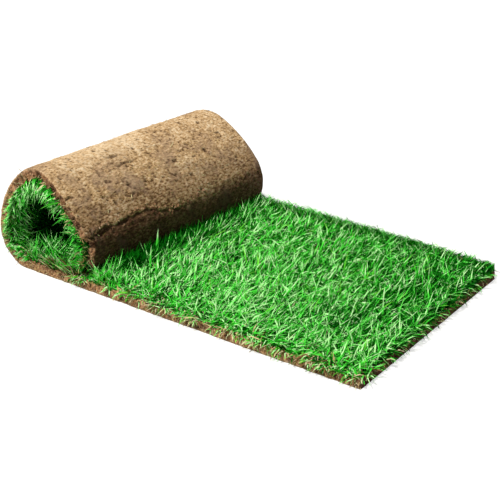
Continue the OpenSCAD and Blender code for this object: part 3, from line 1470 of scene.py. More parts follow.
@dataclass
class RootFibres:
    """Fine roots and straw that stick out of the cut edges and the skin.

    Pairs are the least and the most, or for those of the edges' rise and bend the mean and the spread.
    """

    line: StripLine
    dry: Material
    edge_counts: tuple[tuple[Edge, int], ...] = (
        (Edge.NEAR, 640),
        (Edge.FAR, 140),
        (Edge.FREE, 100),
        (Edge.TAIL, 160),
    )
    edge_inset: float = 2.0 * MM
    edge_stray: float = 0.7
    edge_rise: Span = (1.5, 0.4)
    edge_bend: Span = (0.3, 0.7)
    lowest: float = 0.95
    high_bias: float = 1.8
    skin_count: int = 110
    skin_past_heel: float = 60.0 * MM
    skin_rise: Span = (1.5, 2.0)
    skin_bend: float = -0.2
    lengths: Span = (4.0 * MM, 13.0 * MM)
    widths: Span = (0.45 * MM, 1.35 * MM)
    seed: int = 53

    def sow(self) -> Shoots:
        """Sows fibres over the cut faces and the skin."""
        rng = np.random.default_rng(self.seed)
        half = 0.5 * self.line.width
        depth = self.line.soil_depth
        ends = {Edge.FREE: self.edge_inset, Edge.TAIL: self.line.length - self.edge_inset}
        rows, columns, ways = [], [], []
        for edge, count in self.edge_counts:
            if edge in ends:
                rows.append(np.full(count, ends[edge]))
                columns.append(rng.uniform(-half, half, count))
            else:
                rows.append(rng.uniform(0.0, self.line.length, count))
                columns.append(np.full(count, math.sin(edge.value) * (half - self.edge_inset)))
            ways.append(edge.value + rng.normal(0.0, self.edge_stray, count))
        edged = sum(count for _, count in self.edge_counts)
        count = edged + self.skin_count
        start = self.line.flat_run + self.skin_past_heel
        rows.append(rng.uniform(start, self.line.length, self.skin_count))
        columns.append(rng.uniform(-half, half, self.skin_count))
        ways.append(rng.uniform(-math.pi, math.pi, self.skin_count))
        on_skin = np.arange(count) >= edged
        rise = np.where(on_skin, rng.uniform(*self.skin_rise, count), rng.normal(*self.edge_rise, count))
        below = -self.lowest * depth * rng.random(count) ** self.high_bias
        bend = np.where(on_skin, self.skin_bend, rng.normal(*self.edge_bend, count))
        thin, thick = self.widths
        return Shoots(
            np.concatenate(rows), np.concatenate(columns), np.where(on_skin, -depth, below),
            np.concatenate(ways), rise, rise + bend,
            length=rng.uniform(*self.lengths, count),
            width=thin + (thick - thin) * rng.random(count) ** 2,
            roll=rng.normal(0.0, 1.0, count),
            kind=np.full(count, BladeKind.DRY),
            column=rng.integers(0, PRINT_COLUMNS, count),
        )

    def build(self) -> Piece:
        """Grows the fibres."""
        return self.sow().spread(self.line, "root_fibres", BladeForm.STANDING)

    def dress(self, piece: Piece) -> None:
        """Gives the fibres their finish and their place in the part."""
        settle(piece, "soil_mat", "soil", self.dry, self.dry)


@dataclass(frozen=True)
class Growth:
    """How standing blades vary, by mean and spread, or by the least and the most lengths and widths.

    Astray is the share that leans any way.
    """

    astray: float
    rise: Span
    bend: Span
    length: Span
    lengths: Span
    width: Span
    widths: Span
    roll: float = 0.9


RUN_GROWTH = Growth(
    astray=0.45, rise=(0.85, 0.33), bend=(0.8, 0.65),
    length=(28.0 * MM, 7.0 * MM), lengths=(11.0 * MM, 46.0 * MM),
    width=(1.6 * MM, 0.45 * MM), widths=(0.9 * MM, 3.0 * MM),
)
CURL_GROWTH = Growth(
    astray=0.6, rise=(0.4, 0.25), bend=(0.7, 0.35),
    length=(26.0 * MM, 6.0 * MM), lengths=(12.0 * MM, 40.0 * MM),
    width=(2.1 * MM, 0.5 * MM), widths=(1.1 * MM, 3.6 * MM),
)


@dataclass(frozen=True)
class Posture:
    """How some blades stand otherwise than the rest: scales of their rise and length, and their bend."""

    rise: float
    bend: float
    length: float = 1.0

    def take(self, shoots: Shoots, chosen: Array) -> None:
        """Lets the chosen blades stand that way."""
        shoots.rise[chosen] *= self.rise
        shoots.droop[chosen] = shoots.rise[chosen] + self.bend
        shoots.length[chosen] *= self.length


@dataclass(frozen=True)
class Overhang:
    """How blades at a cut edge hang over it.

    Share is that of the blades right at the edge, and reach is how far in this goes on. Pairs are the
    least and the most. Dry is the share of dead ones, and stray the spread of their lean.
    """

    share: float
    reach: float
    rise: Span
    droop: Span
    length: Span
    dry: float
    stray: float = 0.55

    def hang(self, shoots: Shoots, edge: Edge, gap: Array, freely: Numbers, rng: Chance) -> Array:
        """Lets blades that are rooted near an edge hang over it.

        Args:
            shoots: the blades, which are changed.
            edge: the edge.
            gap: how far each blade is rooted from it.
            freely: scales how many hang.
            rng: the source of chance.

        Returns:
            A mask of those that hang.
        """
        near = np.exp(-gap / self.reach) * self.share * freely > rng.random(len(shoots))
        count = int(near.sum())
        shoots.lean[near] = edge.value + rng.normal(0.0, self.stray, count)
        shoots.rise[near] = rng.uniform(*self.rise, count)
        shoots.droop[near] = rng.uniform(*self.droop, count)
        shoots.length[near] = rng.uniform(*self.length, count)
        dead = near & (rng.random(len(shoots)) < self.dry)
        shoots.kind[dead] = BladeKind.DRY
        return near


NEAR_HANG = Overhang(1.0, 16.0 * MM, (0.5, 1.4), (1.5, 2.9), (13.0 * MM, 34.0 * MM), 0.4)
FREE_HANG = Overhang(0.16, 9.0 * MM, (0.6, 1.2), (1.6, 2.8), (10.0 * MM, 20.0 * MM), 0.2)
FAR_HANG = Overhang(0.06, 10.0 * MM, (0.8, 1.3), (1.6, 2.4), (12.0 * MM, 20.0 * MM), 0.15)
MOUTH_SPILL = Overhang(0.95, 14.0 * MM, (0.5, 1.2), (1.3, 2.5), (12.0 * MM, 28.0 * MM), 0.05)
CROWN_SPILL = Overhang(0.9, 14.0 * MM, (0.6, 1.2), (0.0, 0.6), (22.0 * MM, 42.0 * MM), 0.03)


@dataclass(frozen=True)
class BladeTint:
    """Chooses each blade's kind and its column of the blade print.

    Patches, tallness and chance make a blade fresher or darker, and the free end is darker. Short blades
    more often take the darkest kind, which is painted shade. Dead blades stand in small patches and along
    the near edge.
    """

    line: StripLine
    patches: float = 0.5
    tallness: float = 0.45
    chance: float = 0.45
    shade_below: float = -0.18
    by_end: Ramp = Ramp(240.0 * MM, 0.0)
    end_deeper: float = 0.4
    edge_reach: float = 50.0 * MM
    edge_spared: float = 0.8
    edge_by_end: Ramp = Ramp(300.0 * MM, 220.0 * MM)
    edge_fresher: float = 0.15
    # Share of dead blades: in a dead patch and elsewhere, and at the near edge in the open and by the curl
    dead_patch_from: float = 0.5
    dead_shares: Span = (0.35, 0.012)
    dead_edge_shares: Span = (0.4, 0.05)
    dead_edge_reach: float = 7.0 * MM
    by_curl: float = 130.0 * MM
    # Columns, as a share of them all: the least and the most. Higher columns carry more painted highlight.
    # Yellow blades have the first one.
    columns: Span = (0.15, 0.999)
    column_tallness: float = 0.3
    column_chance: float = 1.25
    front_paler: float = 0.2
    end_dimmer: float = 0.06
    yellow_share: float = 0.035

    def choose(self, along: Array, across: Array, tall: Array, rng: Chance) -> tuple[Array, Array]:
        """Chooses the kinds and columns of blades.

        Args:
            along: places along the strip.
            across: places across it.
            tall: how far each blade's length is off the mean, in its own spread.
            rng: the source of chance.

        Returns:
            The kinds, and the columns, which are higher for paler blades with more painted highlight.
        """
        spots = flat_points(along, across)
        gap = across + 0.5 * self.line.width
        drift = self.patches * Relief.GROWTH.over(spots) + self.tallness * tall
        drift += rng.normal(0.0, self.chance, along.shape)
        by_edge = np.exp(-((gap / self.edge_reach) ** 2))
        drift -= self.end_deeper * self.by_end.at(along) * (1.0 - self.edge_spared * by_edge)
        drift += self.edge_fresher * by_edge * self.edge_by_end.at(along)
        kind = np.where(drift > 0.0, BladeKind.FRESH, BladeKind.GROWN)
        # The darkest blades take the kind that is painted shade
        kind = np.where(drift < self.shade_below, BladeKind.SHADED, kind)
        dead = np.where(Relief.WITHERED.over(spots) > self.dead_patch_from, *self.dead_shares)
        in_open = along < self.line.flat_run - self.by_curl
        dead += np.where(in_open, *self.dead_edge_shares) * np.exp(-gap / self.dead_edge_reach)
        kind = np.where(rng.random(along.shape) < dead, BladeKind.DRY, kind)
        least, most = self.columns
        front = ease(0.5 - across / self.line.width) - 0.5
        luck = rng.normal(0.0, self.column_chance, along.shape)
        rank = 0.5 + 0.5 * np.tanh(self.column_tallness * tall + luck)
        pale = least + (1.0 - least) * rank + self.front_paler * front
        pale = np.clip(pale - self.end_dimmer * self.by_end.at(along), least, most)
        pale = np.where(rng.random(along.shape) < self.yellow_share, 0.0, pale)
        return kind, np.floor(PRINT_COLUMNS * pale).astype(np.int64)


@dataclass(frozen=True)
class FarTrim:
    """Keeps the far edge of the run straight: blades lie along it, and none stands up above it.

    Heights are the most at the edge, by the free end and a height_run on. More stands further in.
    """

    turned_reach: float = 25.0 * MM
    close_reach: float = 18.0 * MM
    close: Posture = Posture(rise=0.33, bend=0.5, length=1.35)
    laid_reach: float = 14.0 * MM
    laid_share: float = 0.2
    laid_stray: float = 0.3
    laid_bend: Span = (0.8, 1.2)
    laid_length: float = 1.1
    onward_until: float = 40.0 * MM
    corner_reach: float = 18.0 * MM
    corner: Posture = Posture(rise=0.4, bend=0.2)
    heights: Span = (15.5 * MM, 30.0 * MM)
    height_run: float = 400.0 * MM
    slope: float = 0.25

    def trim(self, shoots: Shoots, gap: Array, rng: Chance) -> None:
        """Trims the blades of the run.

        Args:
            shoots: the blades, which are changed.
            gap: how far each blade is rooted from the far edge.
            rng: the source of chance.
        """
        out = (gap < self.turned_reach) & (np.sin(shoots.lean) > 0.0)
        shoots.lean[out] = -shoots.lean[out]
        self.close.take(shoots, gap < self.close_reach)
        laid = (gap < self.laid_reach) & (rng.random(len(shoots)) < self.laid_share)
        count = int(laid.sum())
        onward = (rng.random(count) < 0.5) | (shoots.along[laid] < self.onward_until)
        way = np.where(onward, Edge.TAIL.value, Edge.FREE.value)
        shoots.lean[laid] = way + rng.normal(0.0, self.laid_stray, count)
        shoots.droop[laid] = shoots.rise[laid] + rng.uniform(*self.laid_bend, count)
        shoots.length[laid] *= self.laid_length
        self.corner.take(shoots, (gap < self.corner_reach) & (shoots.along < self.corner_reach))
        upright = np.cos(0.5 * (shoots.rise + shoots.droop))
        room = np.interp(shoots.along, (0.0, self.height_run), self.heights) + self.slope * gap
        tall = shoots.length * upright > room
        shoots.length[tall] = room[tall] / upright[tall]


@dataclass(frozen=True)
class NearFringe:
    """How the grass hangs over the near edge of the run: in clumps, with bare places between them.

    Blades are short where the edge is sparse, and light just behind it.
    """

    clump_mean: float = 0.4
    clump_swing: float = 3.2
    clump_bounds: Span = (0.1, 1.3)
    bare_places: tuple[Span, ...] = ((420.0 * MM, 24.0 * MM), (298.0 * MM, 22.0 * MM))
    bareness: float = 0.9
    sparse_reach: float = 9.0 * MM
    sparse_below: float = 0.5
    sparse_length: float = 0.6
    light_reach: float = 18.0 * MM
    light_share: float = 0.6
    light_columns: tuple[int, int] = (5, 15)
    hang_columns: tuple[int, int] = (10, 16)
    yellow_share: float = 0.35

    def fray(self, shoots: Shoots, gap: Array, rng: Chance) -> None:
        """Lets the blades of the run hang over the edge.

        Args:
            shoots: the blades, which are changed.
            gap: how far each blade is rooted from the near edge.
            rng: the source of chance.
        """
        count = len(shoots)
        clumps = self.clump_mean + self.clump_swing * Relief.CLUMPS.over(flat_points(shoots.along, 0.0))
        clumps = np.clip(clumps, *self.clump_bounds)
        for middle, reach in self.bare_places:
            clumps *= 1.0 - self.bareness * np.exp(-(((shoots.along - middle) / reach) ** 2))
        over = NEAR_HANG.hang(shoots, Edge.NEAR, gap, clumps, rng)
        sparse = (gap < self.sparse_reach) & (clumps < rng.uniform(0.0, self.sparse_below, count))
        shoots.length[sparse] *= self.sparse_length
        light = ~over & (gap < self.light_reach) & (rng.random(count) < self.light_share)
        shoots.column[light] = rng.integers(*self.light_columns, int(light.sum()))
        shoots.kind[light & (shoots.kind == BladeKind.SHADED)] = BladeKind.FRESH
        yellow = rng.random(count) < self.yellow_share
        shoots.column[over] = np.where(yellow, 0, rng.integers(*self.hang_columns, count))[over]


@dataclass(frozen=True)
class CurlSpots:
    """Where blades inside the curl are rooted.

    Hanging is how far the grass hangs down there, from 0 to 1, and gap is from the near edge.
    """

    rising: Array
    hanging: Array
    height: Array
    gap: Array


@dataclass(frozen=True)
class NearMouth:
    """The grass in the near mouth of the curl: painted bright on the rising wall, bushy on the falling one.

    Columns of the print are given as first and past the last.
    """

    under_crown: float = 0.3
    bright_reach: float = 32.0 * MM
    shade_green_share: float = 0.3
    lit_share: float = 0.8
    lit_columns: tuple[int, int] = (11, 16)
    lit_width: float = 1.2
    dim_share: float = 0.2
    dim_column: int = 1
    falling_columns: tuple[int, int] = (4, 13)
    bushy_reach: float = 30.0 * MM
    bushy_fresh: float = 0.4
    bushy_dry: float = 0.05
    bushy_length: float = 1.2
    bushy_bend: Span = (0.3, 0.6)
    pale_reach: float = 12.0 * MM
    pale_height: float = 82.0 * MM
    pale_height_reach: float = 32.0 * MM
    pale_share: float = 0.4
    pale_width: float = 1.3
    pale_lengths: Span = (22.0 * MM, 34.0 * MM)
    pale_lean: Span = (-0.5, 0.5)
    pale_rise: Span = (0.7, 1.2)
    pale_bend: Span = (0.2, 0.8)
    turned_reach: float = 36.0 * MM
    turned_roll: float = 1.4
    turned_stray: float = 0.4

    def brighten(self, shoots: Shoots, spots: CurlSpots, rng: Chance) -> None:
        """Paints light on the rising wall and the crown with fresh, pale blades, paints shade on some of
        the rising wall, and makes the falling wall bushy.

        Args:
            shoots: the blades inside the curl, which are changed.
            spots: where they are rooted.
            rng: the source of chance.
        """
        count = len(shoots)
        hangs = spots.hanging > self.under_crown
        bright = (spots.gap < self.bright_reach) & (spots.rising | hangs)
        shade_green = bright & spots.rising & (rng.random(count) < self.shade_green_share)
        shoots.kind[shade_green] = BladeKind.SHADED
        lit = bright & (rng.random(count) < self.lit_share)
        shoots.kind[lit & (shoots.kind != BladeKind.DRY)] = BladeKind.FRESH
        dim = rng.random(count) < self.dim_share
        columns = np.where(dim, self.dim_column, rng.integers(*self.lit_columns, count))
        shoots.column[lit] = columns[lit]
        shoots.width[lit & spots.rising] *= self.lit_width
        falling = ~spots.rising & (spots.hanging < self.under_crown)
        shoots.column[falling] = rng.integers(*self.falling_columns, int(falling.sum()))
        bushy = falling & (spots.gap < self.bushy_reach)
        shoots.kind[bushy & (rng.random(count) < self.bushy_fresh)] = BladeKind.FRESH
        shoots.kind[bushy & (rng.random(count) < self.bushy_dry)] = BladeKind.DRY
        shoots.length[bushy] *= self.bushy_length
        bend = np.abs(rng.normal(*self.bushy_bend, int(bushy.sum())))
        shoots.droop[bushy] = shoots.rise[bushy] + bend

    def lean_out(self, shoots: Shoots, spots: CurlSpots, rng: Chance) -> None:
        """Lets pale blades lean out of the rising wall, whose other blades turn to the light.

        Args:
            shoots: the blades inside the curl, which are changed.
            spots: where they are rooted.
            rng: the source of chance.
        """
        pale = spots.rising & (spots.gap < self.pale_reach)
        pale &= np.abs(spots.height - self.pale_height) < self.pale_height_reach
        pale &= rng.random(len(shoots)) < self.pale_share
        count = int(pale.sum())
        shoots.kind[pale] = BladeKind.FRESH
        shoots.column[pale] = PRINT_COLUMNS - 1
        shoots.width[pale] *= self.pale_width
        shoots.length[pale] = rng.uniform(*self.pale_lengths, count)
        shoots.lean[pale] = Edge.NEAR.value + rng.normal(*self.pale_lean, count)
        shoots.rise[pale] = rng.uniform(*self.pale_rise, count)
        shoots.droop[pale] = shoots.rise[pale] + rng.uniform(*self.pale_bend, count)
        turned = spots.rising & (spots.hanging < self.under_crown) & (spots.gap < self.turned_reach)
        stray = rng.normal(0.0, self.turned_stray, int(turned.sum()))
        shoots.roll[turned] = self.turned_roll * np.sin(shoots.lean[turned]) + stray


@dataclass(frozen=True)
class TailGround:
    """How the grass of the run stands by the tail: pressed down under it, and upright beside it.

    Distances are ahead of the tail's foot, and below 0 inside the curl.
    """

    pressed_reach: float = 8.0 * MM
    pressed_heights: Span = (19.0 * MM, 24.0 * MM)
    inside_from: float = -14.0 * MM
    inside: Posture = Posture(rise=0.5, bend=0.45, length=1.3)
    inside_lit: float = 24.0 * MM
    beside_reach: Span = (14.0 * MM, 44.0 * MM)
    beside_until: float = 0.94
    beside: Posture = Posture(rise=0.5, bend=0.4, length=1.1)
    # The shaded ground, by mean and spread: how far ahead it goes, less at the far end, and how far in
    # from the near edge it starts
    shade_ahead: Span = (53.0 * MM, 7.0 * MM)
    shade_less: float = 31.0 * MM
    shade_in: Span = (27.0 * MM, 7.0 * MM)


@dataclass
class Sward:
    """The standing grass: tufts of blades that lean with each other and hang over the cut edges."""

    line: StripLine
    leaf: Material
    dry: Material
    far_trim: FarTrim = FarTrim()
    near_fringe: NearFringe = NearFringe()
    near_mouth: NearMouth = NearMouth()
    tail_ground: TailGround = TailGround()
    flat_gap: float = 5.58 * MM
    curl_gap: float = 6.8 * MM
    margin: float = 1.5 * MM
    tuft_blades: int = 7
    tuft_spread: float = 0.22
    bent_from: float = 1.3
    most_blades: int = 12000
    foot: float = -1.0 * MM
    overhang: float = 13.0 * MM
    # Tufts more along the far edge, and how far in from it they go
    hedge_tufts: int = 180
    hedge_reach: float = 8.0 * MM
    # The way that the run leans, how it drifts, and how far tufts and single blades stray from it
    lean_way: float = 0.68 * math.pi
    lean_drift: float = 1.2
    tuft_stray: float = 0.5
    blade_stray: float = 0.55
    dead_length: float = 0.6
    fresh_wider: float = 0.3 * MM
    # By the free end most blades lean away from it, and few hang over it near its far corner
    turned_reach: float = 14.0 * MM
    turned_share: float = 0.8
    corner_reach: float = 30.0 * MM
    # Single blades that stand out by the toe: along, across, length and width
    tall_blades: tuple[tuple[float, float, float, float], ...] = (
        (428.0 * MM, -79.0 * MM, 52.0 * MM, 4.4 * MM),
        (398.0 * MM, -129.0 * MM, 50.0 * MM, 3.4 * MM),
    )
    tall_rise: float = 0.05
    tall_droop: float = 0.15
    tall_roll: float = 0.6
    tall_column: int = 12
    # Inside the curl: the share of tufts that stand out of sight, where from its ends they are seen, how
    # far blades stray, how those that hang down outgrow the rest, and how far in the light comes
    hidden_share: float = 0.45
    seen_from_end: Ramp = Ramp(90.0 * MM, 50.0 * MM)
    wall_stray: float = 1.1
    hangs: Ramp = Ramp(0.6, 0.9)
    hanging_growth: float = 0.6
    curl_lit: float = 28.0 * MM
    lit_stray: float = 7.0 * MM
    # How freely blades spill out of the mouths: high and low on the rising wall, and elsewhere
    spill_low: Ramp = Ramp(120.0 * MM, 90.0 * MM)
    spill_rising: Span = (0.35, 1.0)
    spill_falling: float = 0.65
    far_spill: float = 0.25
    spill_overhang: Span = (0.3, 0.9)
    seed: int = 23

    def tufts(self, start: float, stop: float, gap: float, rng: Chance) -> tuple[Array, Array]:
        """Sets tufts on a shaken grid.

        Args:
            start: where the grid starts along the strip.
            stop: where it stops.
            gap: the distance between neighbours.
            rng: the source of chance.

        Returns:
            The tufts' places along and across the strip, one for each blade.
        """
        half = 0.5 * self.line.width - self.margin
        first, last = start + self.margin, stop - self.margin
        grid = np.meshgrid(np.arange(first, last, gap), np.arange(-half, half, gap), indexing="ij")
        along, across = (values.ravel() for values in grid)
        along = along + rng.uniform(0.0, gap, along.shape)
        across = across + rng.uniform(0.0, gap, across.shape)
        along, across = (np.repeat(values, self.tuft_blades) for values in (along, across))
        along = np.clip(along + rng.normal(0.0, self.tuft_spread * gap, along.shape), first, last)
        across = np.clip(across + rng.normal(0.0, self.tuft_spread * gap, across.shape), -half, half)
        return along, across

    def grow(self, along: Array, across: Array, lean: Array, growth: Growth, rng: Chance) -> Shoots:
        """Lets blades stand where they are rooted.

        Args:
            along: places along the strip.
            across: places across it.
            lean: the way that each blade leans, unless it goes astray.
            growth: how they vary.
            rng: the source of chance.

        Returns:
            The blades.
        """
        count = len(along)
        astray = rng.random(count) < growth.astray
        lean[astray] = rng.uniform(-math.pi, math.pi, int(astray.sum()))
        rise = np.abs(rng.normal(*growth.rise, count))
        tall = rng.normal(0.0, 1.0, count)
        mean, spread = growth.length
        droop = rise + np.abs(rng.normal(*growth.bend, count))
        length = np.clip(mean + spread * tall, *growth.lengths)
        width = np.clip(rng.normal(*growth.width, count), *growth.widths)
        roll = rng.normal(0.0, growth.roll, count)
        kind, column = BladeTint(self.line).choose(along, across, tall, rng)
        foot = np.full(count, self.foot)
        return Shoots(along, across, foot, lean, rise, droop, length, width, roll, kind, column)

    def sow_flat(self) -> Shoots:
        """Sows the flat run.

        Returns:
            Its blades, which lean in drifts and hang over the near and the free edge.
        """
        rng = np.random.default_rng(self.seed)
        half = 0.5 * self.line.width
        along, across = self.tufts(0.0, self.line.flat_run, self.flat_gap, rng)
        hedge = self.tuft_blades * self.hedge_tufts
        along = np.concatenate([along, rng.uniform(self.margin, self.line.flat_run, hedge)])
        across = np.concatenate([across, half - rng.uniform(self.margin, self.hedge_reach, hedge)])
        count = len(along)
        lean = self.lean_way + self.lean_drift * Relief.LEAN.over(flat_points(along, across))
        lean += np.repeat(rng.normal(0.0, self.tuft_stray, count // self.tuft_blades), self.tuft_blades)
        lean += rng.normal(0.0, self.blade_stray, count)
        shoots = self.grow(along, across, lean, RUN_GROWTH, rng)
        shoots.length[shoots.kind == BladeKind.DRY] *= self.dead_length
        shoots.width[shoots.kind == BladeKind.FRESH] += self.fresh_wider
        self.far_trim.trim(shoots, half - across, rng)
        turned = (along < self.turned_reach) & (np.cos(shoots.lean) < 0.0)
        turned &= rng.random(count) < self.turned_share
        shoots.lean[turned] = math.pi - shoots.lean[turned]
        self.near_fringe.fray(shoots, across + half, rng)
        FREE_HANG.hang(shoots, Edge.FREE, along, ease((half - across) / self.corner_reach), rng)
        FAR_HANG.hang(shoots, Edge.FAR, half - across, 1.0, rng)
        self.make_way(shoots, rng)
        self.hold_in(shoots, 1.0)
        return shoots

    def hold_in(self, shoots: Shoots, share: Numbers) -> None:
        """Shortens blades that would reach too far out over an edge.

        Args:
            shoots: the blades, which are changed.
            share: a number from 0 to 1, or one for each blade, that scales how far out they may reach.
        """
        half = 0.5 * self.line.width
        reach = shoots.reach()
        gaps = {Edge.NEAR: shoots.across + half, Edge.FAR: half - shoots.across, Edge.FREE: shoots.along}
        for edge, gap in gaps.items():
            out = reach * np.cos(shoots.lean - edge.value)
            room = gap + self.overhang * share
            far_out = out > room
            shoots.length[far_out] *= room[far_out] / out[far_out]

    def make_way(self, shoots: Shoots, rng: Chance) -> None:
        """Presses down the blades under the tail, and lets those inside the curl stand up.

        Args:
            shoots: the blades of the flat run, which are changed.
            rng: the source of chance.
        """
        ground = self.tail_ground
        count = len(shoots)
        share = shoots.across / self.line.width + 0.5
        foot = self.line.stand(np.full(count, self.line.length), shoots.across)[0][:, 0]
        ahead = self.line.free_end - shoots.along - foot
        under = np.abs(ahead - 0.5 * self.line.soil_depth) < ground.pressed_reach
        near, far = ground.pressed_heights
        shoots.length[under] = np.minimum(shoots.length[under], near + (far - near) * share[under])
        inside = ahead < ground.inside_from
        ground.inside.take(shoots, inside)
        self.shade(shoots, inside, ground.inside_lit, rng)
        first, last = ground.beside_reach
        ground.beside.take(shoots, (ahead > first) & (ahead < last) & (share < ground.beside_until))
        # Painted shade on the run in front of the toe, where the curl shades it
        dim = (ahead > 0.0) & (ahead < rng.normal(*ground.shade_ahead, count) - ground.shade_less * share)
        dim &= shoots.across + 0.5 * self.line.width > rng.normal(*ground.shade_in, count)
        shoots.kind[dim & (shoots.kind != BladeKind.DRY)] = BladeKind.SHADED
        tall = slice(len(self.tall_blades))
        places = np.array(self.tall_blades).T
        shoots.along[tall], shoots.across[tall], shoots.length[tall], shoots.width[tall] = places
        shoots.lean[tall] = Edge.FAR.value
        shoots.rise[tall] = self.tall_rise
        shoots.droop[tall] = self.tall_droop
        shoots.roll[tall] = self.tall_roll
        shoots.kind[tall] = BladeKind.FRESH
        shoots.column[tall] = self.tall_column

    def shade(self, shoots: Shoots, inside: Array, lit: float, rng: Chance) -> None:
        """Paints shade on blades inside the curl that stand further in than the light comes, by giving them
        the darkest kind.
        """
        depth = 0.5 * self.line.width - np.abs(shoots.across)
        dark = depth > lit + rng.normal(0.0, self.lit_stray, len(shoots))
        shoots.kind[inside & dark] = BladeKind.SHADED

    def sow_curl(self) -> Shoots:
        """Sows the inside of the curl, thinner where it is out of sight.

        Returns:
            Its blades, which stand into the hollow and spill out of its two ends.
        """
        rng = np.random.default_rng(self.seed + 1)
        half = 0.5 * self.line.width
        along, across = self.tufts(self.line.flat_run, self.line.length, self.curl_gap, rng)
        chance = rng.random(len(along) // self.tuft_blades).repeat(self.tuft_blades)
        seen = self.seen_from_end.at(half - np.abs(across))
        kept = chance < self.hidden_share + (1.0 - self.hidden_share) * seen
        along, across = along[kept], across[kept]
        count = len(along)
        places, runs, grows = self.line.stand(along, across)
        spots = CurlSpots(runs[:, 2] > 0.0, self.hangs.at(-grows[:, 2]), places[:, 2], across + half)
        upward = np.where(runs[:, 2] < 0.0, Edge.TAIL.value, Edge.FREE.value)
        lean = upward + rng.normal(0.0, self.wall_stray, count)
        shoots = self.grow(along, across, lean, CURL_GROWTH, rng)
        shoots.length *= 1.0 + self.hanging_growth * spots.hanging
        self.shade(shoots, np.full(count, True), self.curl_lit, rng)
        self.near_mouth.brighten(shoots, spots, rng)
        high, low = self.spill_rising
        rising = high + (low - high) * self.spill_low.at(spots.height)
        freely = np.where(spots.rising, rising, self.spill_falling)
        for edge, gap, share in ((Edge.NEAR, spots.gap, 1.0), (Edge.FAR, half - across, self.far_spill)):
            MOUTH_SPILL.hang(shoots, edge, gap, share * freely * (1.0 - spots.hanging), rng)
            CROWN_SPILL.hang(shoots, edge, gap, share * spots.hanging, rng)
        self.near_mouth.lean_out(shoots, spots, rng)
        least, most = self.spill_overhang
        self.hold_in(shoots, least + (most - least) * freely)
        return shoots

    def build(self) -> list[Piece]:
        """Grows the whole sward.

        Returns:
            Its pieces, each with a bounded number of blades.
        """
        pieces = []
        for place, shoots in (("run", self.sow_flat()), ("curl", self.sow_curl())):
            bent = shoots.droop - shoots.rise > self.bent_from
            groups = (("", BladeForm.STANDING, ~bent), ("_fringe", BladeForm.HANGING, bent))
            for name, form, chosen in groups:
                order = np.flatnonzero(chosen)[np.argsort(shoots.across[chosen], kind="stable")]
                parts = math.ceil(len(order) / self.most_blades)
                for number, part in enumerate(np.array_split(order, parts), 1):
                    grown = shoots.only(part)
                    pieces.append(grown.spread(self.line, f"grass_{place}{name}_{number}", form))
        return pieces

    def dress(self, pieces: list[Piece]) -> None:
        """Gives the blades their finishes and their place in the part."""
        for piece in pieces:
            settle(piece, "grass_sward", "grass", self.leaf, self.dry)


def seen_rays(tree: Tree) -> Socket:
    """Adds the test for rays by which the camera sees a ground: straight, in a gloss or through glass."""
    path = add_node(tree, "ShaderNodeLightPath").outputs
    seen = sum_up(tree, "MAXIMUM", path["Is Camera Ray"], path["Is Glossy Ray"])
    return sum_up(tree, "MAXIMUM", seen, path["Is Transmission Ray"])


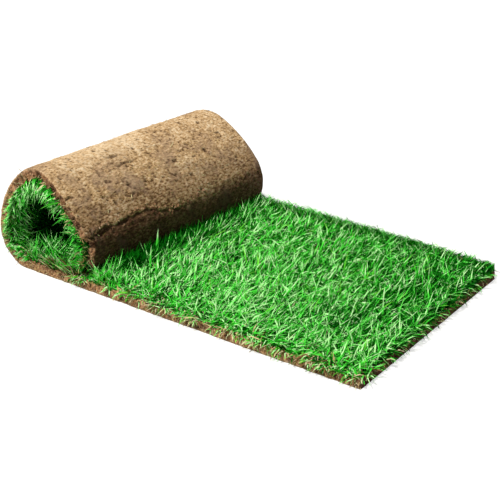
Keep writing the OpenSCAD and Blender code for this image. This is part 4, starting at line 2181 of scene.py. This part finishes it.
@dataclass
class Studio:
    """The floor, the lamp and the camera."""

    camera_place: Triple = (832.1 * MM, -1151.5 * MM, 651.1 * MM)
    azimuth_degrees: float = 35.56
    elevation_degrees: float = 23.57
    roll_degrees: float = 0.83
    focal_pixels: float = 1025.1
    image_pixels: float = 500.0
    sensor: float = 36.0
    floor_size: float = 14.0
    floor_colour: Colour = (0.55, 0.55, 0.55)
    floor_roughness: float = 0.9
    floor_lift: float = 0.62
    white: tuple[float, float, float, float] = (1.0, 1.0, 1.0, 1.0)
    sun_from: Triple = (-0.08, -0.50, 0.86)
    sun_colour: Colour = (1.0, 0.97, 0.92)
    sun_strength: float = 3.4
    sun_width_degrees: float = 5.0
    sky_strength: float = 0.14

    def set_camera(self) -> None:
        """Puts the camera where the photograph was taken from."""
        angles = (self.azimuth_degrees, 90.0 - self.elevation_degrees, self.roll_degrees)
        turned = Matrix.Identity(4)
        for axis, degrees in zip("ZXZ", angles):
            turned = turned @ Matrix.Rotation(math.radians(degrees), 4, axis)
        data = bpy.data.cameras.new("camera")
        data.sensor_width = self.sensor
        data.lens = self.sensor * self.focal_pixels / self.image_pixels
        camera = bpy.data.objects.new("camera", data)
        camera.matrix_world = Matrix.Translation(self.camera_place) @ turned
        bpy.context.scene.collection.objects.link(camera)
        bpy.context.scene.camera = camera

    def lay_floor(self) -> None:
        """Lays a pale floor that looks white to the camera and still takes the shadow."""
        half = 0.5 * self.floor_size
        corners = half * np.array([(-1, -1, 0), (1, -1, 0), (1, 1, 0), (-1, 1, 0)])
        floor = new_mesh_piece("floor", corners, [np.array([[0, 1, 2, 3]])])
        material, tree, shader = new_material("floor_finish")
        shader.inputs["Base Color"].default_value = (*self.floor_colour, 1.0)
        shader.inputs["Roughness"].default_value = self.floor_roughness
        shader.inputs["Specular IOR Level"].default_value = 0.0
        lift = sum_up(tree, "MULTIPLY", seen_rays(tree), self.floor_lift)
        tree.links.new(lift, shader.inputs["Emission Strength"])
        shader.inputs["Emission Color"].default_value = self.white
        floor.data.materials.append(material)

    def light(self) -> None:
        """Hangs a lamp high on the near side and fills the shade from all round."""
        data = bpy.data.lights.new("key", "SUN")
        data.energy = self.sun_strength
        data.angle = math.radians(self.sun_width_degrees)
        data.color = self.sun_colour
        lamp = bpy.data.objects.new("key", data)
        lamp.rotation_euler = Vector(self.sun_from).to_track_quat("Z", "Y").to_euler()
        bpy.context.scene.collection.objects.link(lamp)
        world = bpy.data.worlds.new("studio")
        world.use_nodes = True
        bpy.context.scene.world = world
        tree = world.node_tree
        limits = {"Value": seen_rays(tree), "To Min": self.sky_strength, "To Max": 1.0}
        strength = add_node(tree, "ShaderNodeMapRange", limits).outputs[0]
        ground = tree.nodes["Background"]
        ground.inputs["Color"].default_value = self.white
        tree.links.new(strength, ground.inputs["Strength"])
        bpy.context.scene.view_settings.view_transform = "Standard"


def main() -> None:
    """Builds the soil, the grass and the studio, and writes down the sizes."""
    logging.basicConfig(level=logging.INFO, format="%(message)s")
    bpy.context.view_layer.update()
    line = StripLine.from_frame()
    LOG.info("strip: %.1f mm along its root line", line.length / MM)

    studio = Studio()
    studio.set_camera()
    studio.lay_floor()
    studio.light()

    soil = SoilMat(line, SoilFinish())
    soil.dress(soil.build())
    crumbs = Crumbs(soil, CRUMB_FINISH)
    crumbs.dress(crumbs.build())

    dry = DryFinish().material()
    fibres = RootFibres(line, dry)
    fibres.dress(fibres.build())
    sward = Sward(line, LeafFinish().material(), dry)
    sward.dress(sward.build())


if __name__ == "__main__":
    main()
